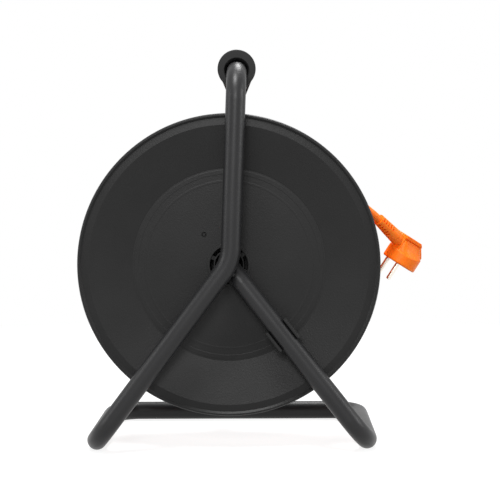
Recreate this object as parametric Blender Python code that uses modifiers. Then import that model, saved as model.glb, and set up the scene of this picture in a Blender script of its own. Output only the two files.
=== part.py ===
"""Extension cord reel: a drum of cable that turns on a stand bent from one steel tube.

Metres, +Z up. The drum turns about an axis along Y, its rear side faces -Y and its sockets face +Y.
The origin lies on the floor, below the middle of the stand.
"""
import math

import bmesh
import bpy
from mathutils import Matrix, Vector

# Fit of pieces that touch, and the wall of the drum's mouldings
CLEARANCE = 0.0003
WALL = 0.0026
WELD_DISTANCE = 0.000002
SHARP_ANGLE = math.radians(35)
ROD_STEPS = 12
RING_STEPS = 24

# Stand, one tube from the carry bar to the axle
TUBE_DIAMETER = 0.020
TUBE_WALL = 0.0014
FLOOR_FLAT = 0.0005
BASE_DEPTH = 0.200
FOOT_HALF_SPAN = 0.139
FOOT_OFFSET = 0.002
HUB_HEIGHT = 0.189
HANDLE_HEIGHT = 0.3855
HANDLE_X = 0.010
HANDLE_TURN = math.radians(1.3)
STEM_X = 0.0025
STEM_BEND_RISE = 0.005
HANDLE_BEND = 0.030
STEM_BEND = 0.045
CORNER_BEND = 0.030
AXLE_BEND = 0.024
AXLE_SETBACK = 0.016
WELD_RADIUS = 0.0022
WELD_FROM_HUB = (0.0017, 0.0090, -0.0058)
WELD_HALF = (0.0047, 0.0, -0.0036)
BEND_STEP = math.radians(18)
TUBE_SIDE_RESOLUTION = 4
TUBE_SIDES = 12

# Carry grip, an egg-shaped body with a guard at the stem and a smaller plate at its far end
GRIP_LENGTH = 0.118
GRIP_RADIUS = 0.0150
GRIP_FOOT = 0.0235
GRIP_LEAN = math.radians(68)
END_PLATE_RADIUS = 0.0169
END_PLATE_FOOT = 0.0255
GUARD_RADIUS = 0.0194
GUARD_FOOT = 0.0245
GUARD_LEAN = math.radians(52)
GRIP_RISE = 0.003
GRIP_PLATE_THICKNESS = 0.005
GRIP_END_WALL = 0.006
GRIP_ROUNDING = 0.0015
TEARDROP_STEPS = 14

# Glide clip on the right leg
CLIP_FROM_HUB = 0.0887
CLIP_LENGTH = 0.024
CLIP_WALL = 0.0028
CLIP_LIP = 0.004
CLIP_PAD_HALF_WIDTH = 0.008
CLIP_SHOULDER = 0.006
CLIP_RUNNING_GAP = 0.0015

# Drum, in depths behind the plane of the legs
DRUM_RADIUS = 0.1545
BAND_INSET = 0.0115
RIM_WIDTH = 0.0045
RIM_EDGE = 0.001
DISC_RADIUS = 0.099
CORE_RADIUS = 0.097
REAR_DISC_DEPTH = 0.032
WINDING_WIDTH = 0.088
STEP_RUN = 0.0015
STEP_RISE = 0.0016
DISH_DEPTH = 0.010
BAND_DROP = 0.002
BEAD_HEIGHT = 0.0014
RIM_LIP = 0.007
DRUM_STEPS = 36

# Hub of the drum
BOSS_WALL = 0.0024
HUB_WELL_RADIUS = 0.0195
HUB_WELL_FLOOR = 0.011
HUB_RING_WIDTH = 0.003
HUB_RING_HEIGHT = 0.0008
HUB_RIB_COUNT = 6
HUB_RIB_THICKNESS = 0.0045
HUB_RIB_TURN = -6
HUB_MOUTH_RADIUS = 0.0142
HUB_MOUTH_WALL = 0.0016
HUB_MOUTH_DROP = 0.0012
HUB_MOUTH_DEPTH = 0.010
HUB_MOUTH_TAPER = 0.004
BOSS_START_GAP = 0.001
REAR_BOSS_LENGTH = 0.033
FRONT_BOSS_INNER = 0.022
FRONT_BOSS_OUTER = 0.005
WASHER_THICKNESS = 0.0012
WASHER_RADIUS = 0.016
CAP_RADIUS = 0.0165
CAP_THICKNESS = 0.0034
CAP_STEM_LENGTH = 0.020

# Screws
DRUM_SCREW_COUNT = 4
DRUM_SCREW_CIRCLE = 0.080
DRUM_SCREW_RADIUS = 0.0018
DRUM_SCREW_HEAD = 0.0038
DRUM_SCREW_LENGTH = 0.026
DRUM_BOSS_RADIUS = 0.0045
PANEL_SCREW_ANGLES = (0, 90, 180)
PANEL_SCREW_CIRCLE = 0.078
PANEL_SCREW_RADIUS = 0.0016
PANEL_SCREW_HEAD = 0.0034
PANEL_SCREW_REACH = 0.006
PANEL_PILLAR_RADIUS = 0.004
SCREW_HEAD_HEIGHT = 0.0022
SCREW_CROWN_DROP = 0.0013
SCREW_CROWN_RUN = 0.0011
SCREW_STEPS = 10

# Socket panel on the front of the drum
PANEL_RADIUS = 0.088
PANEL_HEIGHT = 0.016
PANEL_WALL = 0.0022
PANEL_EDGE = 0.004
PANEL_EDGE_DROP = 0.0024
PANEL_EDGE_INNER = 0.0032
PANEL_HUB_HOLE = 0.019
SOCKET_COUNT = 4
SOCKET_CIRCLE = 0.048
SOCKET_RADIUS = 0.0195
SOCKET_DEPTH = 0.0175
SOCKET_WALL = 0.0017
SOCKET_FLOOR = 0.004
SOCKET_FLANGE_WIDTH = 0.0045
SOCKET_FLANGE_THICKNESS = 0.0015
SOCKET_STEPS = 18
PIN_SPACING = 0.019
PIN_RADIUS = 0.0024
EARTH_CLIP_HALF_SPAN = 0.0186
EARTH_CLIP_HEIGHT = 0.012
EARTH_CLIP_WIDTH = 0.006
STRIP_THICKNESS = 0.0008
BUS_WIDTH = 0.006

# Socket lids
LID_THICKNESS = 0.0024
LID_RADIUS = 0.024
LID_HINGE_OFFSET = 0.0285
LID_KNUCKLE_RADIUS = 0.003
LID_KNUCKLE_LENGTH = 0.014
LID_WEB_HALF_WIDTH = 0.006
LID_TAB_LENGTH = 0.005
LID_PIN_RADIUS = 0.0012
PIN_STEPS = 8
LID_WEB_THICKNESS = 0.0022
LID_TAB_THICKNESS = 0.0019
LUG_WIDTH = 0.004

# Thermal cut-out with its reset button, and the terminal block
CUTOUT_CIRCLE = 0.072
CUTOUT_SIZE = (0.022, 0.016, 0.0225)
CUTOUT_NECK_RADIUS = 0.0068
CUTOUT_NECK_RISE = 0.002
BUTTON_RADIUS = 0.005
BUTTON_RISE = 0.0035
BUTTON_LENGTH = 0.0125
BUTTON_TRAVEL = 0.003
BUTTON_STEPS = 16
TERMINAL_CIRCLE = 0.074
TERMINAL_ANGLE = 22.5
TERMINAL_SIZE = (0.012, 0.024, 0.014)
TERMINAL_DROP = 0.0206
TERMINAL_PILLAR_RADIUS = 0.004

# Winding knob
KNOB_INSET = 0.0365
KNOB_LENGTH = 0.035
KNOB_RADIUS = 0.0115
KNOB_WAIST = 0.0075
KNOB_FOOT_RADIUS = 0.009
KNOB_BOSS_RADIUS = 0.0058
KNOB_BOSS_RISE = 0.011
KNOB_PIN_RADIUS = 0.003
KNOB_PIN_HEAD = 0.0052
KNOB_STEPS = 18
KNOB_TOP_RADIUS = 0.0092
KNOB_CROWN = 0.0042
KNOB_HEAD = 0.0122
KNOB_NECK = 0.007
KNOB_RECESS = 0.0033

# Cable: outer layer of the winding, free stretch and plug
CABLE_DIAMETER = 0.0085
WINDING_INSET = 0.020
WINDING_PITCH = 0.00915
WINDING_TURNS = 9.5
WINDING_END_DEPTH = 0.038
WINDING_TAIL = 0.051
EXIT_ANGLE = math.radians(49)
POINTS_PER_TURN = 24
RISER_LENGTH = 0.012
RISER_WIDTH = 0.0068
WINDING_SIDE_RESOLUTION = 1
CORD_SIDE_RESOLUTION = 3

# Plug, placed by the middle of its face
PLUG_OUTSET = 0.0228
PLUG_DEPTH = 0.081
PLUG_DROP = 0.003
PLUG_TILT = math.radians(32.7)
PLUG_TURN = math.radians(31.8)
PLUG_RADIUS = 0.0188
PLUG_BASE_HEIGHT = 0.0155
PLUG_SHOULDER = 0.0176
PLUG_HEIGHT = 0.0304
PLUG_RIDGE_HALF = 0.0085
PLUG_LIP_HALF = 0.011
PLUG_LIP_HEIGHT = 0.0037
PLUG_BACK = -0.0165
PLUG_FRONT = 0.0165
PLUG_TOP_FRONT = 0.0045
PLUG_PIN_OFFSET = -0.0078
PLUG_NECK_RADIUS = 0.0074
PLUG_NECK_START = (-0.0234, 0.0229)
PLUG_NECK_TILT = math.radians(10)
PLUG_ROUNDING = 0.0015
PLUG_STEPS = 28
PLUG_PIN_LENGTH = 0.019
PIN_TIP_RADIUS = 0.0011
RELIEF_LENGTH = 0.0295
RELIEF_END_RADIUS = 0.0060
RELIEF_RIBS = 5
RELIEF_GROOVE = 0.0012
RELIEF_SHARES = ((0.0, 0), (0.55, 0), (0.6, 1), (0.95, 1))
RELIEF_STEPS = 14

# Free stretch of the cable, from the winding's end to the strain relief
CORD_LEAD = 0.011
CORD_STEPS = 10

# Places worked out from the sizes above
TUBE_RADIUS = TUBE_DIAMETER / 2
LEG_PLANE = -BASE_DEPTH / 2
BAND_RADIUS = DRUM_RADIUS - BAND_INSET
RIM_GROOVE_RADIUS = DRUM_RADIUS - RIM_WIDTH
KNOB_CIRCLE = DRUM_RADIUS - KNOB_INSET
WINDING_RADIUS = DRUM_RADIUS - WINDING_INSET
PLUG_FACE = (DRUM_RADIUS + PLUG_OUTSET, LEG_PLANE + PLUG_DEPTH, HUB_HEIGHT - PLUG_DROP)
RAIL_HEIGHT = TUBE_RADIUS - FLOOR_FLAT
BORE_RADIUS = TUBE_RADIUS + CLEARANCE
BOSS_RADIUS = BORE_RADIUS + BOSS_WALL
REAR_INNER = REAR_DISC_DEPTH + WALL
FRONT_INNER = REAR_INNER + WINDING_WIDTH
FRONT_DISC = FRONT_INNER + WALL
MID_DEPTH = (REAR_INNER + FRONT_INNER) / 2
BOSS_REAR = AXLE_SETBACK + AXLE_BEND + BOSS_START_GAP
WELL_FLOOR = BOSS_REAR + HUB_WELL_FLOOR
BOSS_FRONT = FRONT_DISC + FRONT_BOSS_OUTER
AXLE_END = BOSS_FRONT + CLEARANCE + WASHER_THICKNESS + CLEARANCE
PANEL_TOP = FRONT_DISC + PANEL_HEIGHT
SOCKET_TOP = PANEL_TOP + CLEARANCE + SOCKET_FLANGE_THICKNESS
SOCKET_FLOOR_DEPTH = SOCKET_TOP - SOCKET_DEPTH
SOCKET_OUTER = SOCKET_RADIUS + SOCKET_WALL
SOCKET_BOTTOM = SOCKET_FLOOR_DEPTH - SOCKET_FLOOR
LID_AXIS_DEPTH = SOCKET_TOP + CLEARANCE + LID_THICKNESS / 2
CABLE_RADIUS = CABLE_DIAMETER / 2


def clear_scene():
    """Remove the objects that the file starts with."""
    for item in list(bpy.data.objects):
        bpy.data.objects.remove(item, do_unlink=True)


def new_collection(name):
    group = bpy.data.collections.new(name)
    bpy.context.scene.collection.children.link(group)
    return group


clear_scene()
PARTS = new_collection("extension_cord_reel")
CUTTERS = new_collection("cutters")


def finish(name, colour, roughness, metallic=0.0):
    """A Principled material with one colour."""
    made = bpy.data.materials.new(name)
    made.use_nodes = True
    shader = made.node_tree.nodes["Principled BSDF"]
    shader.inputs["Base Color"].default_value = (*colour, 1.0)
    shader.inputs["Roughness"].default_value = roughness
    shader.inputs["Metallic"].default_value = metallic
    return made


BLACK_PAINT = finish("satin_black_paint", (0.022, 0.022, 0.023), 0.38)
BLACK_PLASTIC = finish("black_moulded_plastic", (0.028, 0.028, 0.029), 0.55)
ORANGE_PVC = finish("orange_pvc", (0.90, 0.16, 0.015), 0.50)
WHITE_NYLON = finish("white_nylon", (0.75, 0.75, 0.72), 0.45)
NICKEL = finish("nickel_plate", (0.62, 0.60, 0.56), 0.25, 1.0)
ZINC_STEEL = finish("zinc_plated_steel", (0.55, 0.56, 0.58), 0.35, 1.0)
BRASS = finish("brass_strip", (0.60, 0.42, 0.16), 0.35, 1.0)
RED_PLASTIC = finish("red_moulded_plastic", (0.55, 0.03, 0.02), 0.40)


def place(name, data, look, parent=None, matrix=None, group=PARTS):
    """Link an object for one piece, in its parent's frame."""
    piece = bpy.data.objects.new(name, data)
    group.objects.link(piece)
    if look is not None:
        data.materials.clear()
        data.materials.append(look)
    piece.parent = parent
    if matrix is not None:
        piece.matrix_local = matrix
    return piece


def guide(name, parent=None, matrix=None):
    """An empty that carries pieces on a joint's axis."""
    return place(name, None, None, parent, matrix)


def as_cutter(piece):
    """Make an object a tool of Boolean modifiers only."""
    for group in list(piece.users_collection):
        group.objects.unlink(piece)
    CUTTERS.objects.link(piece)
    piece.hide_render = True
    piece.display_type = "WIRE"
    return piece


def boolean(piece, tool, operation):
    step = piece.modifiers.new(operation.lower(), "BOOLEAN")
    step.operation = operation
    step.solver = "EXACT"
    step.object = as_cutter(tool)


def mesh_from(bm, name):
    bm.normal_update()
    mesh = bpy.data.meshes.new(name)
    bm.to_mesh(mesh)
    bm.free()
    mesh.shade_smooth()
    mesh.set_sharp_from_angle(angle=SHARP_ANGLE)
    return mesh


def baked(piece):
    """The evaluated mesh of an object, with loose caps welded; the object itself goes."""
    bpy.context.view_layer.update()
    shape = piece.evaluated_get(bpy.context.evaluated_depsgraph_get())
    mesh = bpy.data.meshes.new_from_object(shape)
    bm = bmesh.new()
    bm.from_mesh(mesh)
    bmesh.ops.remove_doubles(bm, verts=bm.verts, dist=WELD_DISTANCE)
    bpy.data.objects.remove(piece, do_unlink=True)
    return mesh_from(bm, mesh.name)


def turned(name, profile, steps, look, parent=None, matrix=None, closed=True):
    """Turn a profile of (radius, height) points about local Z; it runs down its outer side."""
    mesh = bpy.data.meshes.new(name)
    count = len(profile)
    edges = [(i, (i + 1) % count) for i in range(count if closed else count - 1)]
    mesh.from_pydata([(radius, 0.0, height) for radius, height in profile], edges, [])
    piece = place(name, mesh, look, parent, matrix)
    screw = piece.modifiers.new("turn", "SCREW")
    screw.steps = steps
    screw.render_steps = steps
    screw.use_merge_vertices = True
    screw.merge_threshold = WELD_DISTANCE
    screw.use_smooth_shade = True
    return piece


def tube(name, points, radius, resolution, look, parent=None, caps=True):
    """A round tube along points."""
    curve = bpy.data.curves.new(name, "CURVE")
    curve.dimensions = "3D"
    curve.bevel_depth = radius
    curve.bevel_resolution = resolution
    curve.use_fill_caps = caps
    spline = curve.splines.new("POLY")
    spline.points.add(len(points) - 1)
    for point, at in zip(spline.points, points):
        point.co = (*at, 1.0)
    return place(name, curve, look, parent)


def plate(name, outline, thickness, look, parent=None, matrix=None, rounding=0.0):
    """A flat outline in local XY, thickened both ways along local Z."""
    curve = bpy.data.curves.new(name, "CURVE")
    curve.dimensions = "2D"
    curve.fill_mode = "BOTH"
    curve.extrude = thickness / 2 - rounding
    curve.bevel_depth = rounding
    curve.bevel_resolution = 1
    curve.offset = -rounding
    spline = curve.splines.new("POLY")
    spline.points.add(len(outline) - 1)
    for point, (x, y) in zip(spline.points, outline):
        point.co = (x, y, 0.0, 1.0)
    spline.use_cyclic_u = True
    return place(name, curve, look, parent, matrix)


def add_rod(bm, start, end, radius, sides=ROD_STEPS):
    """A closed cylinder between two points."""
    start, end = Vector(start), Vector(end)
    along = end - start
    turn = along.to_track_quat("Z", "Y").to_matrix().to_4x4()
    bmesh.ops.create_cone(
        bm, cap_ends=True, segments=sides, radius1=radius, radius2=radius, depth=along.length,
        matrix=Matrix.Translation((start + end) / 2) @ turn)


def add_block(bm, centre, size, turn=None):
    """A closed box about a centre."""
    frame = Matrix.Translation(centre) @ (turn or Matrix.Identity(4))
    bmesh.ops.create_cube(bm, size=1.0, matrix=frame @ Matrix.Diagonal((*size, 1.0)))


def polar(radius, degrees, depth):
    """A point in the drum's frame."""
    angle = math.radians(degrees)
    return Vector((radius * math.cos(angle), radius * math.sin(angle), depth))


def rounded_path(corners):
    """Points of a path of straight runs; each corner carries the radius of its bend."""
    points = [Vector(corners[0][0])]
    for (before, _), (corner, radius), (after, _) in zip(corners, corners[1:], corners[2:]):
        corner = Vector(corner)
        back = (Vector(before) - corner).normalized()
        ahead = (Vector(after) - corner).normalized()
        half = back.angle(ahead) / 2
        centre = corner + (back + ahead).normalized() * radius / math.sin(half)
        start = corner + back * radius / math.tan(half) - centre
        end = corner + ahead * radius / math.tan(half) - centre
        sweep = start.angle(end)
        steps = math.ceil(sweep / BEND_STEP)
        axis = start.cross(end)
        points += [centre + Matrix.Rotation(sweep * i / steps, 3, axis) @ start for i in range(steps + 1)]
    points.append(Vector(corners[-1][0]))
    return points


# The drum's frame: local Z runs from the legs' plane towards the sockets, local Y points down
DRUM_MATRIX = Matrix.Translation((0, LEG_PLANE, HUB_HEIGHT)) @ Matrix.Rotation(-math.pi / 2, 4, "X")
DRUM_AXIS = guide("drum_axis", None, DRUM_MATRIX)

LEFT_FOOT = Vector((FOOT_OFFSET - FOOT_HALF_SPAN, LEG_PLANE, RAIL_HEIGHT))
RIGHT_FOOT = Vector((FOOT_OFFSET + FOOT_HALF_SPAN, LEG_PLANE, RAIL_HEIGHT))
AXLE_CORNER = Vector((0, LEG_PLANE + AXLE_SETBACK, HUB_HEIGHT))
GRIP_START = HANDLE_BEND + CLEARANCE
GRIP_END = GRIP_START + GRIP_LENGTH
BAR_END = GRIP_END - GRIP_END_WALL
# The carry bar's frame: local Y runs along the bar from the stem
BAR_MATRIX = Matrix.Translation((HANDLE_X, LEG_PLANE, HANDLE_HEIGHT)) @ Matrix.Rotation(HANDLE_TURN, 4, "Z")


def make_frame_tube():
    """The stand: one hollow tube, welded where its legs meet, with a flat on the floor rails."""
    to_far_bar = Vector((0, BASE_DEPTH, 0))
    corners = [
        (BAR_MATRIX @ Vector((0, BAR_END - CLEARANCE, 0)), 0),
        (BAR_MATRIX.translation, HANDLE_BEND),
        ((STEM_X, LEG_PLANE, HUB_HEIGHT + STEM_BEND_RISE), STEM_BEND),
        (LEFT_FOOT, CORNER_BEND),
        (LEFT_FOOT + to_far_bar, CORNER_BEND),
        (RIGHT_FOOT + to_far_bar, CORNER_BEND),
        (RIGHT_FOOT, CORNER_BEND),
        (AXLE_CORNER, AXLE_BEND),
        ((0, LEG_PLANE + AXLE_END, HUB_HEIGHT), 0),
    ]
    path = rounded_path(corners)
    skin = tube("frame_skin", path, TUBE_RADIUS, TUBE_SIDE_RESOLUTION, BLACK_PAINT, caps=False)
    shell = skin.modifiers.new("tube_wall", "SOLIDIFY")
    shell.thickness = TUBE_WALL
    shell.offset = -1
    shell.use_rim = True
    piece = place("frame_tube", baked(skin), BLACK_PAINT)
    weld = bmesh.new()
    middle = Vector((0, LEG_PLANE, HUB_HEIGHT)) + Vector(WELD_FROM_HUB)
    add_rod(weld, middle - Vector(WELD_HALF), middle + Vector(WELD_HALF), WELD_RADIUS)
    boolean(piece, place("leg_weld", mesh_from(weld, "leg_weld"), BLACK_PAINT), "UNION")
    floor = bmesh.new()
    span = 2 * (FOOT_HALF_SPAN + TUBE_DIAMETER)
    add_block(floor, (0, 0, -TUBE_RADIUS), (span, 2 * BASE_DEPTH, TUBE_DIAMETER))
    boolean(piece, place("floor_cut", mesh_from(floor, "floor_cut"), BLACK_PAINT), "DIFFERENCE")


def teardrop(radius, foot, lean):
    """An outline that is round above, with flanks that draw in towards a flat foot below its centre."""
    start, end = -math.pi / 2 + lean, 3 * math.pi / 2 - lean
    arc = [start + (end - start) * i / TEARDROP_STEPS for i in range(TEARDROP_STEPS + 1)]
    foot_half = (radius - foot * math.cos(lean)) / math.sin(lean)
    upper = [(radius * math.cos(angle), radius * math.sin(angle)) for angle in arc]
    return upper + [(-foot_half, -foot), (foot_half, -foot)]


def make_carry_grip():
    """The moulded sleeve on the carry bar: an egg-shaped body between a guard and an end plate."""
    upright = Matrix.Rotation(math.pi / 2, 4, "X")
    middle = (GRIP_START + GRIP_END) / 2

    def section(name, at, outline, length):
        matrix = BAR_MATRIX @ Matrix.Translation((0, at, GRIP_RISE)) @ upright
        shape = plate(name, outline, length, BLACK_PLASTIC, None, matrix, GRIP_ROUNDING)
        return place(name, baked(shape), BLACK_PLASTIC, None, matrix)

    body = teardrop(GRIP_RADIUS, GRIP_FOOT, GRIP_LEAN)
    grip = section("carry_grip", middle, body, GRIP_LENGTH - GRIP_PLATE_THICKNESS)
    half = GRIP_PLATE_THICKNESS / 2
    guard = teardrop(GUARD_RADIUS, GUARD_FOOT, GUARD_LEAN)
    end_plate = teardrop(END_PLATE_RADIUS, END_PLATE_FOOT, GRIP_LEAN)
    for name, at, outline in (("guard", GRIP_START + half, guard), ("end_plate", GRIP_END - half, end_plate)):
        boolean(grip, section("grip_" + name, at, outline, GRIP_PLATE_THICKNESS), "UNION")
    bore = bmesh.new()
    start = (0, GRIP_START - GRIP_PLATE_THICKNESS, 0)
    add_rod(bore, start, (0, BAR_END, 0), TUBE_RADIUS + CLEARANCE * 2, RING_STEPS)
    bore_tool = place("grip_bore", mesh_from(bore, "grip_bore"), BLACK_PLASTIC, None, BAR_MATRIX)
    boolean(grip, bore_tool, "DIFFERENCE")


def make_glide_clip():
    """A saddle that snaps round the right leg from the drum's side and keeps the flange off the tube."""
    along = (AXLE_CORNER - RIGHT_FOOT).normalized()
    centre = AXLE_CORNER - along * CLIP_FROM_HUB
    to_drum = (Vector((0, 1, 0)) - along * along.y).normalized()
    across = to_drum.cross(along)
    matrix = Matrix((across, to_drum, along)).transposed().to_4x4()
    matrix.translation = centre
    inner = TUBE_RADIUS + CLEARANCE
    outer = inner + CLIP_WALL
    reach = LEG_PLANE + REAR_DISC_DEPTH - centre.y
    pad = reach / to_drum.y - CLIP_LENGTH / 2 * abs(along.y / to_drum.y) - CLIP_RUNNING_GAP
    angles = [math.pi * i / ROD_STEPS for i in range(ROD_STEPS + 1)]
    cradle = [(inner * math.cos(angle), inner * math.sin(angle)) for angle in angles]
    outline = [(outer, -CLIP_LIP), (outer, CLIP_SHOULDER), (CLIP_PAD_HALF_WIDTH, pad)]
    outline += [(-CLIP_PAD_HALF_WIDTH, pad), (-outer, CLIP_SHOULDER), (-outer, -CLIP_LIP), (-inner, -CLIP_LIP)]
    outline += cradle[::-1] + [(inner, -CLIP_LIP)]
    plate("glide_clip", outline, CLIP_LENGTH, BLACK_PLASTIC, None, matrix)


def flange_outside():
    """The outer face of a flange from the disc's edge to the rim, as (radius, rise above the disc)."""
    band = DISH_DEPTH - BAND_DROP
    return [
        (DISC_RADIUS, 0), (DISC_RADIUS + STEP_RUN, STEP_RISE), (BAND_RADIUS, DISH_DEPTH),
        (RIM_GROOVE_RADIUS, band), (RIM_GROOVE_RADIUS + RIM_EDGE, band + BEAD_HEIGHT),
        (DRUM_RADIUS - RIM_EDGE, band + BEAD_HEIGHT), (DRUM_RADIUS, band),
    ]


def flange_inside():
    """The winding's side of a flange, from the rim's lip back to the disc."""
    lip = DISH_DEPTH - BAND_DROP - RIM_LIP
    band = DISH_DEPTH - BAND_DROP - WALL
    return [
        (DRUM_RADIUS, lip), (DRUM_RADIUS - WALL, lip), (DRUM_RADIUS - WALL, band),
        (BAND_RADIUS, DISH_DEPTH - WALL), (DISC_RADIUS + STEP_RUN, STEP_RISE - WALL), (DISC_RADIUS, -WALL),
    ]


def make_rear_flange():
    """The rear half of the drum: dished flange, half of the barrel, hub well with ribs, screw bosses."""
    rear = REAR_DISC_DEPTH
    barrel_end = MID_DEPTH - CLEARANCE / 2
    boss_end = BOSS_REAR + REAR_BOSS_LENGTH
    ring = HUB_WELL_RADIUS + HUB_RING_WIDTH
    mouth = HUB_MOUTH_RADIUS + HUB_MOUTH_WALL
    mouth_rear = rear + HUB_MOUTH_DROP
    mouth_foot = mouth_rear + HUB_MOUTH_DEPTH
    profile = [(CORE_RADIUS - WALL, barrel_end), (CORE_RADIUS, barrel_end), (CORE_RADIUS, REAR_INNER)]
    profile += [(radius, rear - rise) for radius, rise in reversed(flange_inside())]
    profile += [(radius, rear - rise) for radius, rise in reversed(flange_outside())]
    profile += [
        (ring, rear), (ring, rear - HUB_RING_HEIGHT), (HUB_WELL_RADIUS, rear - HUB_RING_HEIGHT),
        (HUB_WELL_RADIUS, WELL_FLOOR), (mouth, WELL_FLOOR), (mouth, mouth_rear), (HUB_MOUTH_RADIUS, mouth_rear),
        (HUB_MOUTH_RADIUS, mouth_foot), (BORE_RADIUS, mouth_foot + HUB_MOUTH_TAPER),
        (BORE_RADIUS, boss_end), (BOSS_RADIUS, boss_end),
        (BOSS_RADIUS, WELL_FLOOR + WALL), (HUB_WELL_RADIUS + WALL, WELL_FLOOR + WALL),
        (HUB_WELL_RADIUS + WALL, REAR_INNER), (CORE_RADIUS - WALL, REAR_INNER),
    ]
    piece = turned("rear_flange", profile, DRUM_STEPS, BLACK_PLASTIC, DRUM_AXIS)
    added = bmesh.new()
    rib_top = mouth_rear + HUB_RING_HEIGHT
    rib_foot = WELL_FLOOR + WALL / 2
    for i in range(HUB_RIB_COUNT):
        degrees = 360 * (i + 0.5) / HUB_RIB_COUNT + HUB_RIB_TURN
        middle = polar((mouth + HUB_WELL_RADIUS) / 2, degrees, (rib_top + rib_foot) / 2)
        size = (HUB_WELL_RADIUS - mouth + HUB_MOUTH_WALL, HUB_RIB_THICKNESS, rib_foot - rib_top)
        add_block(added, middle, size, Matrix.Rotation(math.radians(degrees), 4, "Z"))
    holes = bmesh.new()
    for degrees in drum_screw_angles():
        top = polar(DRUM_SCREW_CIRCLE, degrees, FRONT_INNER - CLEARANCE)
        add_rod(added, polar(DRUM_SCREW_CIRCLE, degrees, REAR_INNER - WALL / 2), top, DRUM_BOSS_RADIUS)
        foot = polar(DRUM_SCREW_CIRCLE, degrees, FRONT_DISC - DRUM_SCREW_LENGTH - DRUM_SCREW_RADIUS)
        head = polar(DRUM_SCREW_CIRCLE, degrees, FRONT_DISC)
        add_rod(holes, foot, head, DRUM_SCREW_RADIUS + CLEARANCE, SCREW_STEPS)
    boolean(piece, place("rear_ribs", mesh_from(added, "rear_ribs"), BLACK_PLASTIC, DRUM_AXIS), "UNION")
    boolean(piece, place("rear_bores", mesh_from(holes, "rear_bores"), BLACK_PLASTIC, DRUM_AXIS), "DIFFERENCE")


def drum_screw_angles():
    return [360 * (i + 0.5) / DRUM_SCREW_COUNT for i in range(DRUM_SCREW_COUNT)]


def socket_angles():
    return [360 * (i + 0.5) / SOCKET_COUNT for i in range(SOCKET_COUNT)]


def knob_boss_face():
    return FRONT_DISC + KNOB_BOSS_RISE


def knob_boss_foot():
    """The middle of the dished wall below the knob."""
    slope = (DISH_DEPTH - STEP_RISE) / (BAND_RADIUS - DISC_RADIUS - STEP_RUN)
    return FRONT_DISC + STEP_RISE + (KNOB_CIRCLE - DISC_RADIUS - STEP_RUN) * slope - WALL / 2


def make_front_flange():
    """The front half of the drum, open where the sockets, the cut-out and the cable pass through."""
    barrel_end = MID_DEPTH + CLEARANCE / 2
    boss_start = FRONT_INNER - FRONT_BOSS_INNER
    profile = [(BORE_RADIUS, BOSS_FRONT), (BOSS_RADIUS, BOSS_FRONT), (BOSS_RADIUS, FRONT_DISC)]
    profile += [(radius, FRONT_DISC + rise) for radius, rise in flange_outside()]
    profile += [(radius, FRONT_DISC + rise) for radius, rise in flange_inside()]
    profile += [
        (CORE_RADIUS, FRONT_INNER), (CORE_RADIUS, barrel_end), (CORE_RADIUS - WALL, barrel_end),
        (CORE_RADIUS - WALL, FRONT_INNER), (BOSS_RADIUS, FRONT_INNER), (BOSS_RADIUS, boss_start),
        (BORE_RADIUS, boss_start),
    ]
    piece = turned("front_flange", profile, DRUM_STEPS, BLACK_PLASTIC, DRUM_AXIS)
    added = bmesh.new()
    add_rod(added, polar(KNOB_CIRCLE, 90, knob_boss_foot()), polar(KNOB_CIRCLE, 90, knob_boss_face()),
            KNOB_BOSS_RADIUS, KNOB_STEPS)
    block_top = FRONT_INNER - TERMINAL_DROP
    add_rod(added, polar(TERMINAL_CIRCLE, TERMINAL_ANGLE, block_top + CLEARANCE),
            polar(TERMINAL_CIRCLE, TERMINAL_ANGLE, FRONT_INNER + WALL / 2), TERMINAL_PILLAR_RADIUS)
    holes = bmesh.new()
    below, above = FRONT_INNER - WALL, FRONT_DISC + WALL
    rows = (
        (socket_angles(), SOCKET_CIRCLE, SOCKET_OUTER + 2 * CLEARANCE, SOCKET_STEPS),
        (drum_screw_angles(), DRUM_SCREW_CIRCLE, DRUM_SCREW_RADIUS + CLEARANCE, SCREW_STEPS),
        (PANEL_SCREW_ANGLES, PANEL_SCREW_CIRCLE, PANEL_SCREW_RADIUS + CLEARANCE, SCREW_STEPS),
    )
    for angles, circle, radius, sides in rows:
        for degrees in angles:
            add_rod(holes, polar(circle, degrees, below), polar(circle, degrees, above), radius, sides)
    add_rod(holes, polar(KNOB_CIRCLE, 90, FRONT_INNER), polar(KNOB_CIRCLE, 90, knob_boss_face() + WALL),
            KNOB_PIN_RADIUS + CLEARANCE, KNOB_STEPS)
    width, height, _ = CUTOUT_SIZE
    opening = (width + 4 * CLEARANCE, height + 4 * CLEARANCE, 4 * WALL)
    add_block(holes, polar(CUTOUT_CIRCLE, -90, FRONT_DISC - WALL / 2), opening)
    lead_depth = block_top - TERMINAL_SIZE[2] / 2
    add_rod(holes, polar(CORE_RADIUS - 2 * WALL, TERMINAL_ANGLE, lead_depth),
            polar(CORE_RADIUS + WALL, TERMINAL_ANGLE, lead_depth), CABLE_RADIUS + CLEARANCE)
    boolean(piece, place("front_bosses", mesh_from(added, "front_bosses"), BLACK_PLASTIC, DRUM_AXIS), "UNION")
    cut = place("front_holes", mesh_from(holes, "front_holes"), BLACK_PLASTIC, DRUM_AXIS)
    boolean(piece, cut, "DIFFERENCE")


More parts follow.
